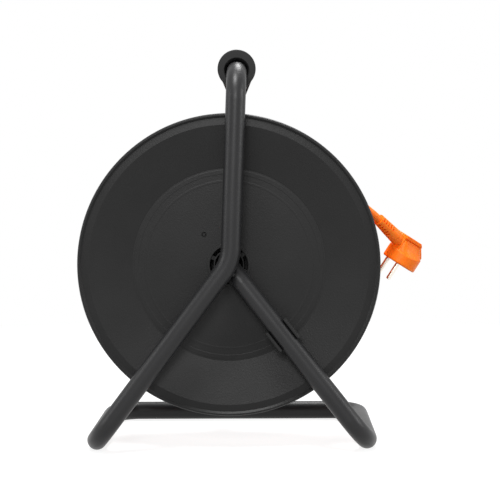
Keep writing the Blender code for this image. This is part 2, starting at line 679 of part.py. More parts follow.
def make_axle_end():
    """The washer and the cap that keep the drum on the tube's end."""
    washer_top = BOSS_FRONT + CLEARANCE + WASHER_THICKNESS
    washer_foot = BOSS_FRONT + CLEARANCE
    profile = [(BORE_RADIUS, washer_top), (WASHER_RADIUS, washer_top), (WASHER_RADIUS, washer_foot),
               (BORE_RADIUS, washer_foot)]
    turned("axle_washer", profile, RING_STEPS, ZINC_STEEL, DRUM_AXIS)
    foot = AXLE_END + CLEARANCE
    top = foot + CAP_THICKNESS
    stem = (TUBE_RADIUS - TUBE_WALL) * math.cos(math.pi / TUBE_SIDES) - CLEARANCE
    profile = [(0, top), (CAP_RADIUS - RIM_EDGE, top), (CAP_RADIUS, top - RIM_EDGE), (CAP_RADIUS, foot),
               (stem, foot), (stem, foot - CAP_STEM_LENGTH), (0, foot - CAP_STEM_LENGTH)]
    turned("axle_end_cap", profile, RING_STEPS, BLACK_PLASTIC, DRUM_AXIS, closed=False)


def screw_profile(radius, head, length):
    """A pan-head screw whose head stands on height zero."""
    top = SCREW_HEAD_HEIGHT
    return [(0, top), (head - SCREW_CROWN_RUN, top), (head, top - SCREW_CROWN_DROP), (head, 0), (radius, 0),
            (radius, -length), (0, -length - radius)]


def make_screws():
    """The screws that close the drum, and those that hold the panel."""
    for i, degrees in enumerate(drum_screw_angles(), 1):
        seat = Matrix.Translation(polar(DRUM_SCREW_CIRCLE, degrees, FRONT_DISC + CLEARANCE))
        turned("drum_screw_%d" % i, screw_profile(DRUM_SCREW_RADIUS, DRUM_SCREW_HEAD, DRUM_SCREW_LENGTH),
               SCREW_STEPS, ZINC_STEEL, DRUM_AXIS, seat, closed=False)
    for i, degrees in enumerate(PANEL_SCREW_ANGLES, 1):
        seat = Matrix.Translation(polar(PANEL_SCREW_CIRCLE, degrees, PANEL_TOP + CLEARANCE))
        length = PANEL_TOP - FRONT_INNER + PANEL_SCREW_REACH
        turned("panel_screw_%d" % i, screw_profile(PANEL_SCREW_RADIUS, PANEL_SCREW_HEAD, length),
               SCREW_STEPS, ZINC_STEEL, DRUM_AXIS, seat, closed=False)


def lid_frame(degrees):
    """The hinge of a lid: local X points away from the drum's axis, local Y lies along the pin."""
    return Matrix.Rotation(math.radians(degrees), 4, "Z") @ Matrix.Translation(
        (SOCKET_CIRCLE + LID_HINGE_OFFSET, 0, LID_AXIS_DEPTH))


def lug_middle():
    return LID_KNUCKLE_LENGTH / 2 + CLEARANCE + LUG_WIDTH / 2


def make_socket_panel():
    """A round tray over the front disc, with a pair of hinge lugs beside each socket."""
    foot = FRONT_DISC + CLEARANCE
    top = PANEL_TOP
    inside = PANEL_RADIUS - PANEL_WALL
    profile = [
        (PANEL_HUB_HOLE, top), (PANEL_RADIUS - PANEL_EDGE, top), (PANEL_RADIUS, top - PANEL_EDGE_DROP),
        (PANEL_RADIUS, foot), (inside, foot), (inside, top - PANEL_EDGE_DROP - PANEL_WALL / 2),
        (inside - PANEL_EDGE_INNER, top - PANEL_WALL), (PANEL_HUB_HOLE, top - PANEL_WALL),
    ]
    panel = turned("socket_panel", profile, DRUM_STEPS, BLACK_PLASTIC, DRUM_AXIS)
    added, holes = bmesh.new(), bmesh.new()
    lug_foot = PANEL_TOP - PANEL_WALL / 2
    lug_top = LID_AXIS_DEPTH + LID_KNUCKLE_RADIUS
    for degrees in socket_angles():
        frame = lid_frame(degrees)
        spin = Matrix.Rotation(math.radians(degrees), 4, "Z")
        for side in (-1, 1):
            middle = frame @ Vector((0, side * lug_middle(), (lug_foot + lug_top) / 2 - LID_AXIS_DEPTH))
            add_block(added, middle, (2 * LID_KNUCKLE_RADIUS, LUG_WIDTH, lug_top - lug_foot), spin)
        reach = lug_middle() + LUG_WIDTH
        ends = [frame @ Vector((0, side * reach, 0)) for side in (-1, 1)]
        add_rod(holes, *ends, LID_PIN_RADIUS + CLEARANCE, PIN_STEPS)
        add_rod(holes, polar(SOCKET_CIRCLE, degrees, foot), polar(SOCKET_CIRCLE, degrees, top + WALL / 2),
                SOCKET_OUTER + CLEARANCE, SOCKET_STEPS)
    for degrees in PANEL_SCREW_ANGLES:
        start, end = (polar(PANEL_SCREW_CIRCLE, degrees, depth) for depth in (foot, top - PANEL_WALL / 2))
        add_rod(added, start, end, PANEL_PILLAR_RADIUS)
        start, end = (polar(PANEL_SCREW_CIRCLE, degrees, depth) for depth in (foot - WALL, top + WALL))
        add_rod(holes, start, end, PANEL_SCREW_RADIUS + CLEARANCE, SCREW_STEPS)
    add_rod(holes, polar(CUTOUT_CIRCLE, -90, foot), polar(CUTOUT_CIRCLE, -90, top + WALL),
            CUTOUT_NECK_RADIUS + CLEARANCE, BUTTON_STEPS)
    boolean(panel, place("panel_lugs", mesh_from(added, "panel_lugs"), BLACK_PLASTIC, DRUM_AXIS), "UNION")
    cut = place("panel_holes", mesh_from(holes, "panel_holes"), BLACK_PLASTIC, DRUM_AXIS)
    boolean(panel, cut, "DIFFERENCE")


def make_sockets():
    """Round wells with two pin holes each, and a sprung earth strip in every well."""
    rim = SOCKET_OUTER + SOCKET_FLANGE_WIDTH - SOCKET_WALL
    flange_foot = SOCKET_TOP - SOCKET_FLANGE_THICKNESS
    profile = [
        (0, SOCKET_FLOOR_DEPTH), (SOCKET_RADIUS, SOCKET_FLOOR_DEPTH), (SOCKET_RADIUS, SOCKET_TOP),
        (rim, SOCKET_TOP), (rim, flange_foot), (SOCKET_OUTER, flange_foot), (SOCKET_OUTER, SOCKET_BOTTOM),
        (0, SOCKET_BOTTOM),
    ]
    well = turned("socket_form", profile, SOCKET_STEPS, BLACK_PLASTIC, closed=False)
    holes = bmesh.new()
    for side in (-1, 1):
        at = side * PIN_SPACING / 2
        start, end = (at, 0, SOCKET_BOTTOM - WALL), (at, 0, SOCKET_FLOOR_DEPTH + WALL)
        add_rod(holes, start, end, PIN_RADIUS + CLEARANCE, SCREW_STEPS)
    boolean(well, place("pin_holes", mesh_from(holes, "pin_holes"), BLACK_PLASTIC), "DIFFERENCE")
    well_mesh = baked(well)
    foot = SOCKET_FLOOR_DEPTH + CLEARANCE
    half, inner = EARTH_CLIP_HALF_SPAN, EARTH_CLIP_HALF_SPAN - STRIP_THICKNESS
    outline = [
        (-half, foot), (half, foot), (half, foot + EARTH_CLIP_HEIGHT), (inner, foot + EARTH_CLIP_HEIGHT),
        (inner, foot + STRIP_THICKNESS), (-inner, foot + STRIP_THICKNESS), (-inner, foot + EARTH_CLIP_HEIGHT),
        (-half, foot + EARTH_CLIP_HEIGHT),
    ]
    strip_mesh = baked(plate("clip_form", outline, EARTH_CLIP_WIDTH, BRASS))
    stand_up = Matrix.Rotation(math.pi / 2, 4, "Z") @ Matrix.Rotation(math.pi / 2, 4, "X")
    for i, degrees in enumerate(socket_angles(), 1):
        at = Matrix.Rotation(math.radians(degrees), 4, "Z") @ Matrix.Translation((SOCKET_CIRCLE, 0, 0))
        place("socket_%d" % i, well_mesh, BLACK_PLASTIC, DRUM_AXIS, at)
        place("earth_clip_%d" % i, strip_mesh, NICKEL, DRUM_AXIS, at @ stand_up)


def make_buses():
    """The contact rings behind the sockets, under the pin holes and under the earth strips."""
    top = SOCKET_BOTTOM - CLEARANCE
    for name, radius in (("live_ring", SOCKET_CIRCLE - PIN_SPACING / 2), ("earth_ring", SOCKET_CIRCLE),
                         ("neutral_ring", SOCKET_CIRCLE + PIN_SPACING / 2)):
        near, far = radius - BUS_WIDTH / 2, radius + BUS_WIDTH / 2
        turned(name, [(near, top), (far, top), (far, top - STRIP_THICKNESS), (near, top - STRIP_THICKNESS)],
               RING_STEPS, BRASS, DRUM_AXIS)


def make_lids():
    """A sprung lid over each socket, on a pin through two lugs of the panel."""
    form = bmesh.new()
    bmesh.ops.create_cone(form, cap_ends=True, segments=RING_STEPS, radius1=LID_RADIUS, radius2=LID_RADIUS,
                          depth=LID_THICKNESS, matrix=Matrix.Translation((-LID_HINGE_OFFSET, 0, 0)))
    lid = place("lid_form", mesh_from(form, "lid_form"), BLACK_PLASTIC)
    added, holes = bmesh.new(), bmesh.new()
    reach = LID_HINGE_OFFSET - LID_RADIUS / 2
    add_block(added, (-reach / 2, 0, 0), (reach, 2 * LID_WEB_HALF_WIDTH, LID_WEB_THICKNESS))
    boolean(lid, place("lid_web", mesh_from(added, "lid_web"), BLACK_PLASTIC), "UNION")
    barrel = bmesh.new()
    half = LID_KNUCKLE_LENGTH / 2
    add_rod(barrel, (0, -half, 0), (0, half, 0), LID_KNUCKLE_RADIUS)
    far_edge = -LID_HINGE_OFFSET - LID_RADIUS
    add_block(barrel, (far_edge, 0, 0), (2 * LID_TAB_LENGTH, 2 * LID_WEB_HALF_WIDTH, LID_TAB_THICKNESS))
    boolean(lid, place("lid_knuckle", mesh_from(barrel, "lid_knuckle"), BLACK_PLASTIC), "UNION")
    add_rod(holes, (0, -2 * half, 0), (0, 2 * half, 0), LID_PIN_RADIUS + CLEARANCE, PIN_STEPS)
    boolean(lid, place("lid_bore", mesh_from(holes, "lid_bore"), BLACK_PLASTIC), "DIFFERENCE")
    lid_mesh = baked(lid)
    pin = bmesh.new()
    pin_half = lug_middle() + LUG_WIDTH / 2
    add_rod(pin, (0, -pin_half, 0), (0, pin_half, 0), LID_PIN_RADIUS, PIN_STEPS)
    pin_mesh = mesh_from(pin, "lid_pin_form")
    for i, degrees in enumerate(socket_angles(), 1):
        hinge = guide("lid_hinge_%d" % i, DRUM_AXIS, lid_frame(degrees))
        place("socket_lid_%d" % i, lid_mesh, BLACK_PLASTIC, hinge)
        place("lid_pin_%d" % i, pin_mesh, ZINC_STEEL, hinge)


def make_cutout():
    """The thermal cut-out under the panel, and the button that resets it."""
    width, height, length = CUTOUT_SIZE
    body_top = PANEL_TOP - PANEL_WALL - CLEARANCE
    body = bmesh.new()
    add_block(body, polar(CUTOUT_CIRCLE, -90, body_top - length / 2), CUTOUT_SIZE)
    piece = place("thermal_cutout", mesh_from(body, "thermal_cutout"), WHITE_NYLON, DRUM_AXIS)
    neck_top = PANEL_TOP + CUTOUT_NECK_RISE
    neck, bore = bmesh.new(), bmesh.new()
    add_rod(neck, polar(CUTOUT_CIRCLE, -90, body_top - length / 4), polar(CUTOUT_CIRCLE, -90, neck_top),
            CUTOUT_NECK_RADIUS, BUTTON_STEPS)
    boolean(piece, place("cutout_neck", mesh_from(neck, "cutout_neck"), WHITE_NYLON, DRUM_AXIS), "UNION")
    button_top = neck_top + BUTTON_RISE
    button_foot = button_top - BUTTON_LENGTH
    bore_foot = button_foot - BUTTON_TRAVEL - CLEARANCE
    add_rod(bore, polar(CUTOUT_CIRCLE, -90, bore_foot), polar(CUTOUT_CIRCLE, -90, neck_top + WALL),
            BUTTON_RADIUS + CLEARANCE, BUTTON_STEPS)
    boolean(piece, place("cutout_bore", mesh_from(bore, "cutout_bore"), WHITE_NYLON, DRUM_AXIS), "DIFFERENCE")
    profile = [(0, button_top), (BUTTON_RADIUS - RIM_EDGE, button_top), (BUTTON_RADIUS, button_top - RIM_EDGE),
               (BUTTON_RADIUS, button_foot), (0, button_foot)]
    at = Matrix.Translation(polar(CUTOUT_CIRCLE, -90, 0))
    turned("reset_button", profile, BUTTON_STEPS, RED_PLASTIC, DRUM_AXIS, at, closed=False)


def make_terminal():
    """The block where the cable's inner end is clamped, and that end through the barrel's wall."""
    block_top = FRONT_INNER - TERMINAL_DROP
    lead_depth = block_top - TERMINAL_SIZE[2] / 2
    spin = Matrix.Rotation(math.radians(TERMINAL_ANGLE), 4, "Z")
    block = bmesh.new()
    add_block(block, polar(TERMINAL_CIRCLE, TERMINAL_ANGLE, lead_depth), TERMINAL_SIZE, spin)
    place("terminal_block", mesh_from(block, "terminal_block"), WHITE_NYLON, DRUM_AXIS)
    start = polar(TERMINAL_CIRCLE + TERMINAL_SIZE[0] / 2 + CLEARANCE, TERMINAL_ANGLE, lead_depth)
    end = polar(CORE_RADIUS * math.cos(math.pi / DRUM_STEPS) - CLEARANCE, TERMINAL_ANGLE, lead_depth)
    tube("inner_lead", [start, end], CABLE_RADIUS, CORD_SIDE_RESOLUTION, ORANGE_PVC, DRUM_AXIS)


def make_knob():
    """The winding knob, free to turn on a shouldered pin in the flange."""
    foot = knob_boss_face() + CLEARANCE
    top = foot + KNOB_LENGTH
    bore = KNOB_PIN_RADIUS + CLEARANCE
    recess = KNOB_PIN_HEAD + 2 * CLEARANCE
    recess_foot = top - KNOB_RECESS
    profile = [
        (recess, top), (KNOB_TOP_RADIUS, top), (KNOB_RADIUS, top - KNOB_CROWN), (KNOB_RADIUS, top - KNOB_HEAD),
        (KNOB_WAIST, foot + KNOB_NECK), (KNOB_FOOT_RADIUS, foot + RIM_EDGE), (KNOB_FOOT_RADIUS, foot),
        (bore, foot), (bore, recess_foot), (recess, recess_foot),
    ]
    at = Matrix.Translation(polar(KNOB_CIRCLE, 90, 0))
    turned("winding_knob", profile, KNOB_STEPS, BLACK_PLASTIC, DRUM_AXIS, at)
    head_foot = recess_foot + CLEARANCE
    head_top = head_foot + SCREW_HEAD_HEIGHT
    pin_foot = knob_boss_foot()
    profile = [(0, head_top), (KNOB_PIN_HEAD, head_top), (KNOB_PIN_HEAD, head_foot),
               (KNOB_PIN_RADIUS, head_foot), (KNOB_PIN_RADIUS, pin_foot), (0, pin_foot)]
    turned("knob_pin", profile, KNOB_STEPS, ZINC_STEEL, DRUM_AXIS, at, closed=False)


def winding_points():
    """The outer layer in the drum's frame: a helix, run on straight at both ends."""
    steps = round(WINDING_TURNS * POINTS_PER_TURN)

    def on_helix(step):
        back = 2 * math.pi * (steps - step) / POINTS_PER_TURN
        angle = EXIT_ANGLE + back
        depth = WINDING_END_DEPTH + WINDING_PITCH * back / (2 * math.pi)
        return Vector((WINDING_RADIUS * math.cos(angle), -WINDING_RADIUS * math.sin(angle), depth))

    points = [on_helix(step) for step in range(steps + 1)]
    first = EXIT_ANGLE + 2 * math.pi * steps / POINTS_PER_TURN
    head = Vector((-math.sin(first), -math.cos(first), 0)) * CABLE_DIAMETER
    tail = Vector((math.sin(EXIT_ANGLE), math.cos(EXIT_ANGLE), 0)) * WINDING_TAIL
    return [points[0] + head] + points + [points[-1] + tail]


def least_gap(points):
    """The smallest gap between turns, measured between points half a turn or more apart."""
    apart = POINTS_PER_TURN // 2
    nearest = min((a - b).length for i, a in enumerate(points) for b in points[i + apart:])
    return nearest - CABLE_DIAMETER


def make_winding():
    """The wound cable: its outer layer as one tube, over a plain core for the layers below."""
    points = winding_points()
    print("least gap in the winding: %.2f mm" % (1000 * least_gap(points[1:-1])))
    tube("winding", points, CABLE_RADIUS, WINDING_SIDE_RESOLUTION, ORANGE_PVC, DRUM_AXIS)
    inner = CORE_RADIUS + CLEARANCE
    outer = WINDING_RADIUS * math.cos(math.pi / POINTS_PER_TURN) - CABLE_RADIUS - CLEARANCE
    flare = (outer - DISC_RADIUS) * (DISH_DEPTH - STEP_RISE) / (BAND_RADIUS - DISC_RADIUS - STEP_RUN)
    rear, front = REAR_INNER + CLEARANCE, FRONT_INNER - CLEARANCE
    profile = [(inner, front), (DISC_RADIUS, front), (outer, front + flare), (outer, rear - flare),
               (DISC_RADIUS, rear), (inner, rear)]
    core = turned("winding_core", profile, DRUM_STEPS, ORANGE_PVC, DRUM_AXIS)
    start = points[0]
    ahead = (points[0] - points[1]).normalized()
    out = Vector((start.x, start.y, 0)).normalized()
    across = ahead.cross(out)
    turn = Matrix((ahead, out, across)).transposed().to_4x4()
    riser = bmesh.new()
    sunk = CABLE_RADIUS
    middle = start + ahead * (CLEARANCE + RISER_LENGTH / 2) - out * (sunk + CABLE_RADIUS) / 2
    add_block(riser, middle, (RISER_LENGTH, sunk + CABLE_RADIUS, RISER_WIDTH), turn)
    boolean(core, place("layer_riser", mesh_from(riser, "layer_riser"), ORANGE_PVC, DRUM_AXIS), "UNION")


def cord_points():
    """The free stretch as one smooth curve from the winding's end to the strain relief."""
    last, end = [DRUM_MATRIX @ point for point in winding_points()[-2:]]
    off = (end - last).normalized()
    frame = plug_frame()
    tip, cord_way = neck_line()
    back = (frame.to_3x3() @ cord_way).normalized()
    start = end + off * CLEARANCE
    finish_at = frame @ (tip + cord_way * (RELIEF_LENGTH + 2 * CLEARANCE))
    pulls = (start, start + off * CORD_LEAD, finish_at + back * CORD_LEAD, finish_at)
    points = []
    for i in range(CORD_STEPS + 1):
        t = i / CORD_STEPS
        weights = ((1 - t) ** 3, 3 * t * (1 - t) ** 2, 3 * t * t * (1 - t), t ** 3)
        points.append(sum((pull * weight for pull, weight in zip(pulls, weights)), Vector()))
    return points


def plug_frame():
    """The plug's frame: origin in the middle of its face, X away from the cord, Z away from the pins."""
    in_view = Vector((math.cos(PLUG_TILT), 0, -math.sin(PLUG_TILT)))
    up = Vector((math.sin(PLUG_TILT), 0, math.cos(PLUG_TILT)))
    along = in_view * math.cos(PLUG_TURN) + Vector((0, 1, 0)) * math.sin(PLUG_TURN)
    matrix = Matrix((along, up.cross(along), up)).transposed().to_4x4()
    matrix.translation = Vector(PLUG_FACE)
    return matrix


def neck_line():
    """The end of the plug's neck and the way the cord leaves it, in the plug's frame."""
    tip = Vector((PLUG_NECK_START[0], 0, PLUG_NECK_START[1]))
    return tip, Vector((-math.cos(PLUG_NECK_TILT), 0, math.sin(PLUG_NECK_TILT)))


def make_plug():
    """The angled plug: a round base, a ridge to hold with a lip along its top, a neck and two pins."""
    axis = guide("plug_axis", None, plug_frame())
    on_edge = Matrix.Rotation(math.pi / 2, 4, "X")
    lip_foot = PLUG_HEIGHT - PLUG_LIP_HEIGHT
    slope = (PLUG_FRONT - PLUG_TOP_FRONT) / (PLUG_HEIGHT - PLUG_SHOULDER)
    lip_front = PLUG_TOP_FRONT + slope * PLUG_LIP_HEIGHT
    base = bmesh.new()
    add_rod(base, (0, 0, 0), (0, 0, PLUG_BASE_HEIGHT), PLUG_RADIUS, PLUG_STEPS)
    body = place("plug_body", mesh_from(base, "plug_body"), ORANGE_PVC, axis)
    ridge_top = lip_foot + PLUG_ROUNDING
    ridge = [(PLUG_BACK, PLUG_ROUNDING), (PLUG_FRONT, PLUG_ROUNDING), (PLUG_FRONT, PLUG_SHOULDER),
             (lip_front, lip_foot), (lip_front, ridge_top), (PLUG_BACK, ridge_top)]
    lip = [(PLUG_BACK, lip_foot), (lip_front, lip_foot), (PLUG_TOP_FRONT, PLUG_HEIGHT),
           (PLUG_BACK, PLUG_HEIGHT)]
    for name, side, half in (("plug_ridge", ridge, PLUG_RIDGE_HALF), ("plug_lip", lip, PLUG_LIP_HALF)):
        shape = baked(plate(name, side, 2 * half, ORANGE_PVC, rounding=PLUG_ROUNDING))
        boolean(body, place(name, shape, ORANGE_PVC, axis, on_edge), "UNION")
    neck = bmesh.new()
    tip, cord_way = neck_line()
    add_rod(neck, tip - cord_way * PLUG_RADIUS, tip, PLUG_NECK_RADIUS, SCREW_STEPS)
    boolean(body, place("plug_neck", mesh_from(neck, "plug_neck"), ORANGE_PVC, axis), "UNION")
    foot = PLUG_PIN_LENGTH + CLEARANCE
    profile = [(0, -CLEARANCE), (PIN_RADIUS, -CLEARANCE), (PIN_RADIUS, PIN_TIP_RADIUS - foot),
               (PIN_TIP_RADIUS, -foot), (0, -foot)]
    for i, at in enumerate((-PIN_SPACING / 2, PIN_SPACING / 2), 1):
        spot = Matrix.Translation((PLUG_PIN_OFFSET, at, 0))
        turned("plug_pin_%d" % i, profile, RELIEF_STEPS, NICKEL, axis, spot, closed=False)
    make_strain_relief(axis, tip + cord_way * CLEARANCE, cord_way)


def make_strain_relief(axis, start, cord_way):
    """The ribbed sleeve between the plug and the cord, thinner towards the cord."""
    pitch = RELIEF_LENGTH / RELIEF_RIBS
    outline = []
    for rib in range(RELIEF_RIBS):
        for share, sunk in RELIEF_SHARES:
            height = pitch * (rib + share)
            radius = PLUG_NECK_RADIUS + (RELIEF_END_RADIUS - PLUG_NECK_RADIUS) * height / RELIEF_LENGTH
            outline.append((radius - sunk * RELIEF_GROOVE, height))
    outline.append((RELIEF_END_RADIUS, RELIEF_LENGTH))
    profile = [(0, RELIEF_LENGTH)] + outline[::-1] + [(0, 0)]
    matrix = Matrix.Translation(start) @ cord_way.to_track_quat("Z", "Y").to_matrix().to_4x4()
    turned("strain_relief", profile, RELIEF_STEPS, ORANGE_PVC, axis, matrix, closed=False)


def main():
    make_frame_tube()
    make_carry_grip()
    make_glide_clip()
    make_rear_flange()
    make_front_flange()
    make_axle_end()
    make_screws()
    make_socket_panel()
    make_sockets()
    make_buses()
    make_lids()
    make_cutout()
    make_terminal()
    make_knob()
    make_winding()
    tube("free_cord", cord_points(), CABLE_RADIUS, CORD_SIDE_RESOLUTION, ORANGE_PVC)
    make_plug()


main()
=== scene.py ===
"""Extension cord reel: the pieces that are seen, in the frame of the CAD model.

Metres, +Z up. The drum turns about an axis along Y, its rear side faces -Y and its sockets face +Y.
"""
import math

import bmesh
import bpy
from mathutils import Matrix, Vector


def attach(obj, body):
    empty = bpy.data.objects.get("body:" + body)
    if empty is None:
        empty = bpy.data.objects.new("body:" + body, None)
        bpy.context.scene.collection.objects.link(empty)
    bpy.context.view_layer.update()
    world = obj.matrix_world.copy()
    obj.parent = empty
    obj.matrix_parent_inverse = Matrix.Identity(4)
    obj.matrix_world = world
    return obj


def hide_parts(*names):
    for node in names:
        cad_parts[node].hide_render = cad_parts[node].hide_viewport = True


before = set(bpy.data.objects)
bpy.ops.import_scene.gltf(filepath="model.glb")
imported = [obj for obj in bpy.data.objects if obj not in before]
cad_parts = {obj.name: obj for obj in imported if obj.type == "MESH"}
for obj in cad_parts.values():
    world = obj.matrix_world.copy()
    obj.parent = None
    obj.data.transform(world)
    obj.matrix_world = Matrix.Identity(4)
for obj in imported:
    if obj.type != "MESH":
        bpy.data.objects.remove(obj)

bl_info = {
    "name": "Extension Cord Reel",
    "version": (1, 0, 0),
    "blender": (4, 5, 0),
    "location": "View3D > Sidebar > Reel",
    "description": "Draws an extension cord reel on a bent tube stand, with its cable and plug",
    "category": "Object",
}

# Points round a piece, by its size
DRUM_STEPS = 192
PANEL_STEPS = 144
SOCKET_STEPS = 72
KNOB_STEPS = 64
ROD_STEPS = 48
TUBE_SIDES = 40
PIN_STEPS = 40
HOLE_STEPS = 32
WELD_STEPS = 24
CABLE_SIDES = 20
# Steps round a bend and round the small edges of turned pieces
BEND_STEP = math.radians(5)
EDGE_STEP = math.radians(18)
# A corner this close to a straight line has no bend
STRAIGHT = 0.001
# Angle above which an edge is drawn sharp
CREASE = math.radians(32)
# Gap between pieces that touch
JOINT_GAP = 0.0003
# How far a cutter runs on past a face
CUT_OVERRUN = 0.001
# A turned ring below this radius is one point
POLE = 1e-7

# Stand
BASE_DEPTH = 0.2
LEG_PLANE = -BASE_DEPTH / 2
FOOT_LEFT = -0.137
FOOT_RIGHT = 0.141
RAIL_HEIGHT = 0.0095
HUB_HEIGHT = 0.189
HANDLE_HEIGHT = 0.3855
HANDLE_X = 0.01
HANDLE_TURN = math.radians(1.3)
STEM_X = 0.0025
STEM_TOP = 0.194
HANDLE_BEND = 0.03
STEM_BEND = 0.045
CORNER_BEND = 0.03
AXLE_BEND = 0.024
AXLE_SETBACK = 0.016
AXLE_END = 0.132
WELD_RADIUS = 0.0022
WELD_FROM_HUB = (0.0017, 0.009, -0.0058)
WELD_HALF = (0.0047, 0.0, -0.0036)

# Carry grip; its sections are a radius, the height of the foot and the lean of the flanks
GRIP_START = 0.0303
GRIP_LENGTH = 0.118
GRIP_LEAN = math.radians(68)
GUARD_LEAN = math.radians(52)
GRIP_BODY = (0.015, 0.0235, GRIP_LEAN)
END_PLATE = (0.0169, 0.0255, GRIP_LEAN)
GUARD = (0.0194, 0.0245, GUARD_LEAN)
GRIP_PLATE = 0.005
GRIP_RISE = 0.003
GRIP_MOUTH = 0.0122
GRIP_MOUTH_RISE = 0.0014
GRIP_MOUTH_DEPTH = 0.008
GRIP_CHAMFER = 0.0008
GRIP_BORE = 0.0106
GRIP_BORE_DEPTH = 0.02
GRIP_ROUNDING = 0.0014
GRIP_EDGE_STEPS = 5
GRIP_POINTS = 120
# How far inside the grip's end the tube ends
BAR_INSET = 0.0063
# How sharply the edges of the foot turn, and a limit that keeps its sole from running off
EGG_POWER = 16
EGG_LIMIT = 0.05

# Glide clip on the right leg; its section is measured from the middle of the tube
CLIP_FROM_HUB = 0.0887
CLIP_LENGTH = 0.024
CLIP_BORE = 0.0103
CLIP_OUTER = 0.0131
CLIP_LIP_INNER = 0.0096
CLIP_LIP = 0.007
CLIP_SHOULDER = 0.006
CLIP_PAD_HALF = 0.008
CLIP_PAD = 0.0199
CLIP_ROUNDING = 0.0012
CLIP_EDGE_STEP = math.radians(15)
CLIP_STEPS = 24

# Drum, in depths behind the plane of the legs
BAND_INSET = 0.0115
RIM_WIDTH = 0.0045
DISC_RADIUS = 0.099
CORE_RADIUS = 0.097
WALL = 0.0026
REAR_DISC = 0.032
FRONT_DISC = 0.1252
REAR_INNER = REAR_DISC + WALL
FRONT_INNER = FRONT_DISC - WALL
CORE_MIDDLE = (REAR_INNER + FRONT_INNER) / 2
STEP_RUN = 0.0008
STEP_RISE = 0.0003
DISH_DEPTH = 0.01
BAND_RISE = 0.0093
BEAD_RISE = 0.011
BEAD_SLOPE = 0.002
BEAD_EDGE = 0.001
RIM_LIP = 0.0083
# Raised rings on the rear disc, as inner radius, outer radius and height
RING_MARKS = ((0.0851, 0.0863, 0.0001), (0.0932, 0.0968, 0.00014))
RING_SLOPE = 0.0008
# Mark of the mould's gate on the rear disc, and its groove as radius and depth
GATE_MARK = (-0.0251, -0.0312)
GATE_GROOVE = (
    (0.0012, 0.0002), (0.0014, 0.0022), (0.0026, 0.0022), (0.0029, -0.001), (0.001, -0.001))

# Hub
BORE_RADIUS = 0.0103
BOSS_RADIUS = 0.0127
BOSS_RISE = 0.005
MOUTH_RADIUS = 0.0142
MOUTH_OUTER = 0.0158
MOUTH_REAR = 0.0332
MOUTH_FOOT = 0.0432
MOUTH_TAPER = 0.004
WELL_RADIUS = 0.0195
WELL_FLOOR = 0.052
HUB_RING = 0.0225
HUB_RING_RISE = 0.0003
HUB_RIBS = 6
HUB_RIB = 0.0045
HUB_RIB_DROP = 0.0008
HUB_RIB_SINK = 0.001
HUB_RIB_EDGE = 0.0004
HUB_RIB_TURN = math.radians(-6)

# Socket side, with turned outlines as radius, height and rounding of the corner
PANEL_RADIUS = 0.088
PANEL_TOP = 0.1412
PANEL_WALL = 0.0022
PANEL_EDGE = 0.004
PANEL_EDGE_DROP = 0.0024
PANEL_CORNER_RUN = 0.003
PANEL_CORNER_DROP = 0.002
PANEL_HOLE = 0.019
SOCKET_CIRCLE = 0.048
SOCKET_RADIUS = 0.0195
SOCKET_OUTER = 0.0212
SOCKET_RIM = 0.024
SOCKET_RIM_HEIGHT = 0.0015
SOCKET_TOP = 0.143
SOCKET_FLOOR = 0.1255
SOCKET_BASE = 0.004
# A floor raised by this hides the strap between the earth contacts
STRAP_COVER = 0.0022
SOCKET_ANGLES = (45, 135, 225, 315)
PIN_SPACING = 0.019
PIN_RADIUS = 0.0024
LID_RADIUS = 0.024
LID_HINGE = 0.0285
LID_AXIS = 0.1445
LID_HALF = 0.0012
LID_DISHED = LID_HALF - 0.0005
LID_PROFILE = (
    (0, LID_DISHED), (LID_RADIUS - 0.004, LID_DISHED), (LID_RADIUS - 0.0035, LID_HALF),
    (LID_RADIUS, LID_HALF, 0.0009), (LID_RADIUS, -LID_HALF, 0.0004), (0, -LID_HALF))
LID_ROUNDING = 0.0002
WEB_HALF = 0.006
LID_ARM = (0.016, 2 * WEB_HALF, 0.0022)
LID_ARM_EDGE = 0.0004
LID_TAB = (0.01, 2 * WEB_HALF, 0.0019)
LID_TAB_EDGE = 0.0006
KNUCKLE_RADIUS = 0.003
KNUCKLE_HALF = 0.007
LUG_MIDDLE = 0.0093
LUG_WIDTH = 0.004
LUG_EDGE = 0.0008
CUTOUT_CIRCLE = 0.072
CUTOUT_ANGLE = -90
NECK_RADIUS = 0.0068
BUTTON_RADIUS = 0.005
BUTTON_TOP = 0.1467
BUTTON_FOOT = 0.1342
BUTTON_PROFILE = (
    (0, BUTTON_TOP), (BUTTON_RADIUS, BUTTON_TOP - 0.0004, 0.0012), (BUTTON_RADIUS, BUTTON_FOOT),
    (0, BUTTON_FOOT))
PANEL_SCREW_ANGLES = (0, 90, 180)
PANEL_SCREW_CIRCLE = 0.078
SCREW_HEAD = 0.0034
SCREW_RISE = 0.0022
SCREW_SHANK = 0.0016
SCREW_PROFILE = (
    (0, SCREW_RISE), (SCREW_HEAD - 0.0004, SCREW_RISE - 0.0002, 0.0012), (SCREW_HEAD, 0),
    (SCREW_SHANK, 0), (SCREW_SHANK, -0.024), (0, -0.0256))
CROSS_SLOTS = ((0.0036, 0.0008, 0.0024), (0.0008, 0.0036, 0.0025))
CROSS_SLOT_EDGE = 0.0001
KNOB_INSET = 0.0365
KNOB_FOOT = 0.1365
KNOB_LENGTH = 0.035
KNOB_TOP = KNOB_FOOT + KNOB_LENGTH
KNOB_RECESS = KNOB_TOP - 0.0033
KNOB_BORE = 0.0033
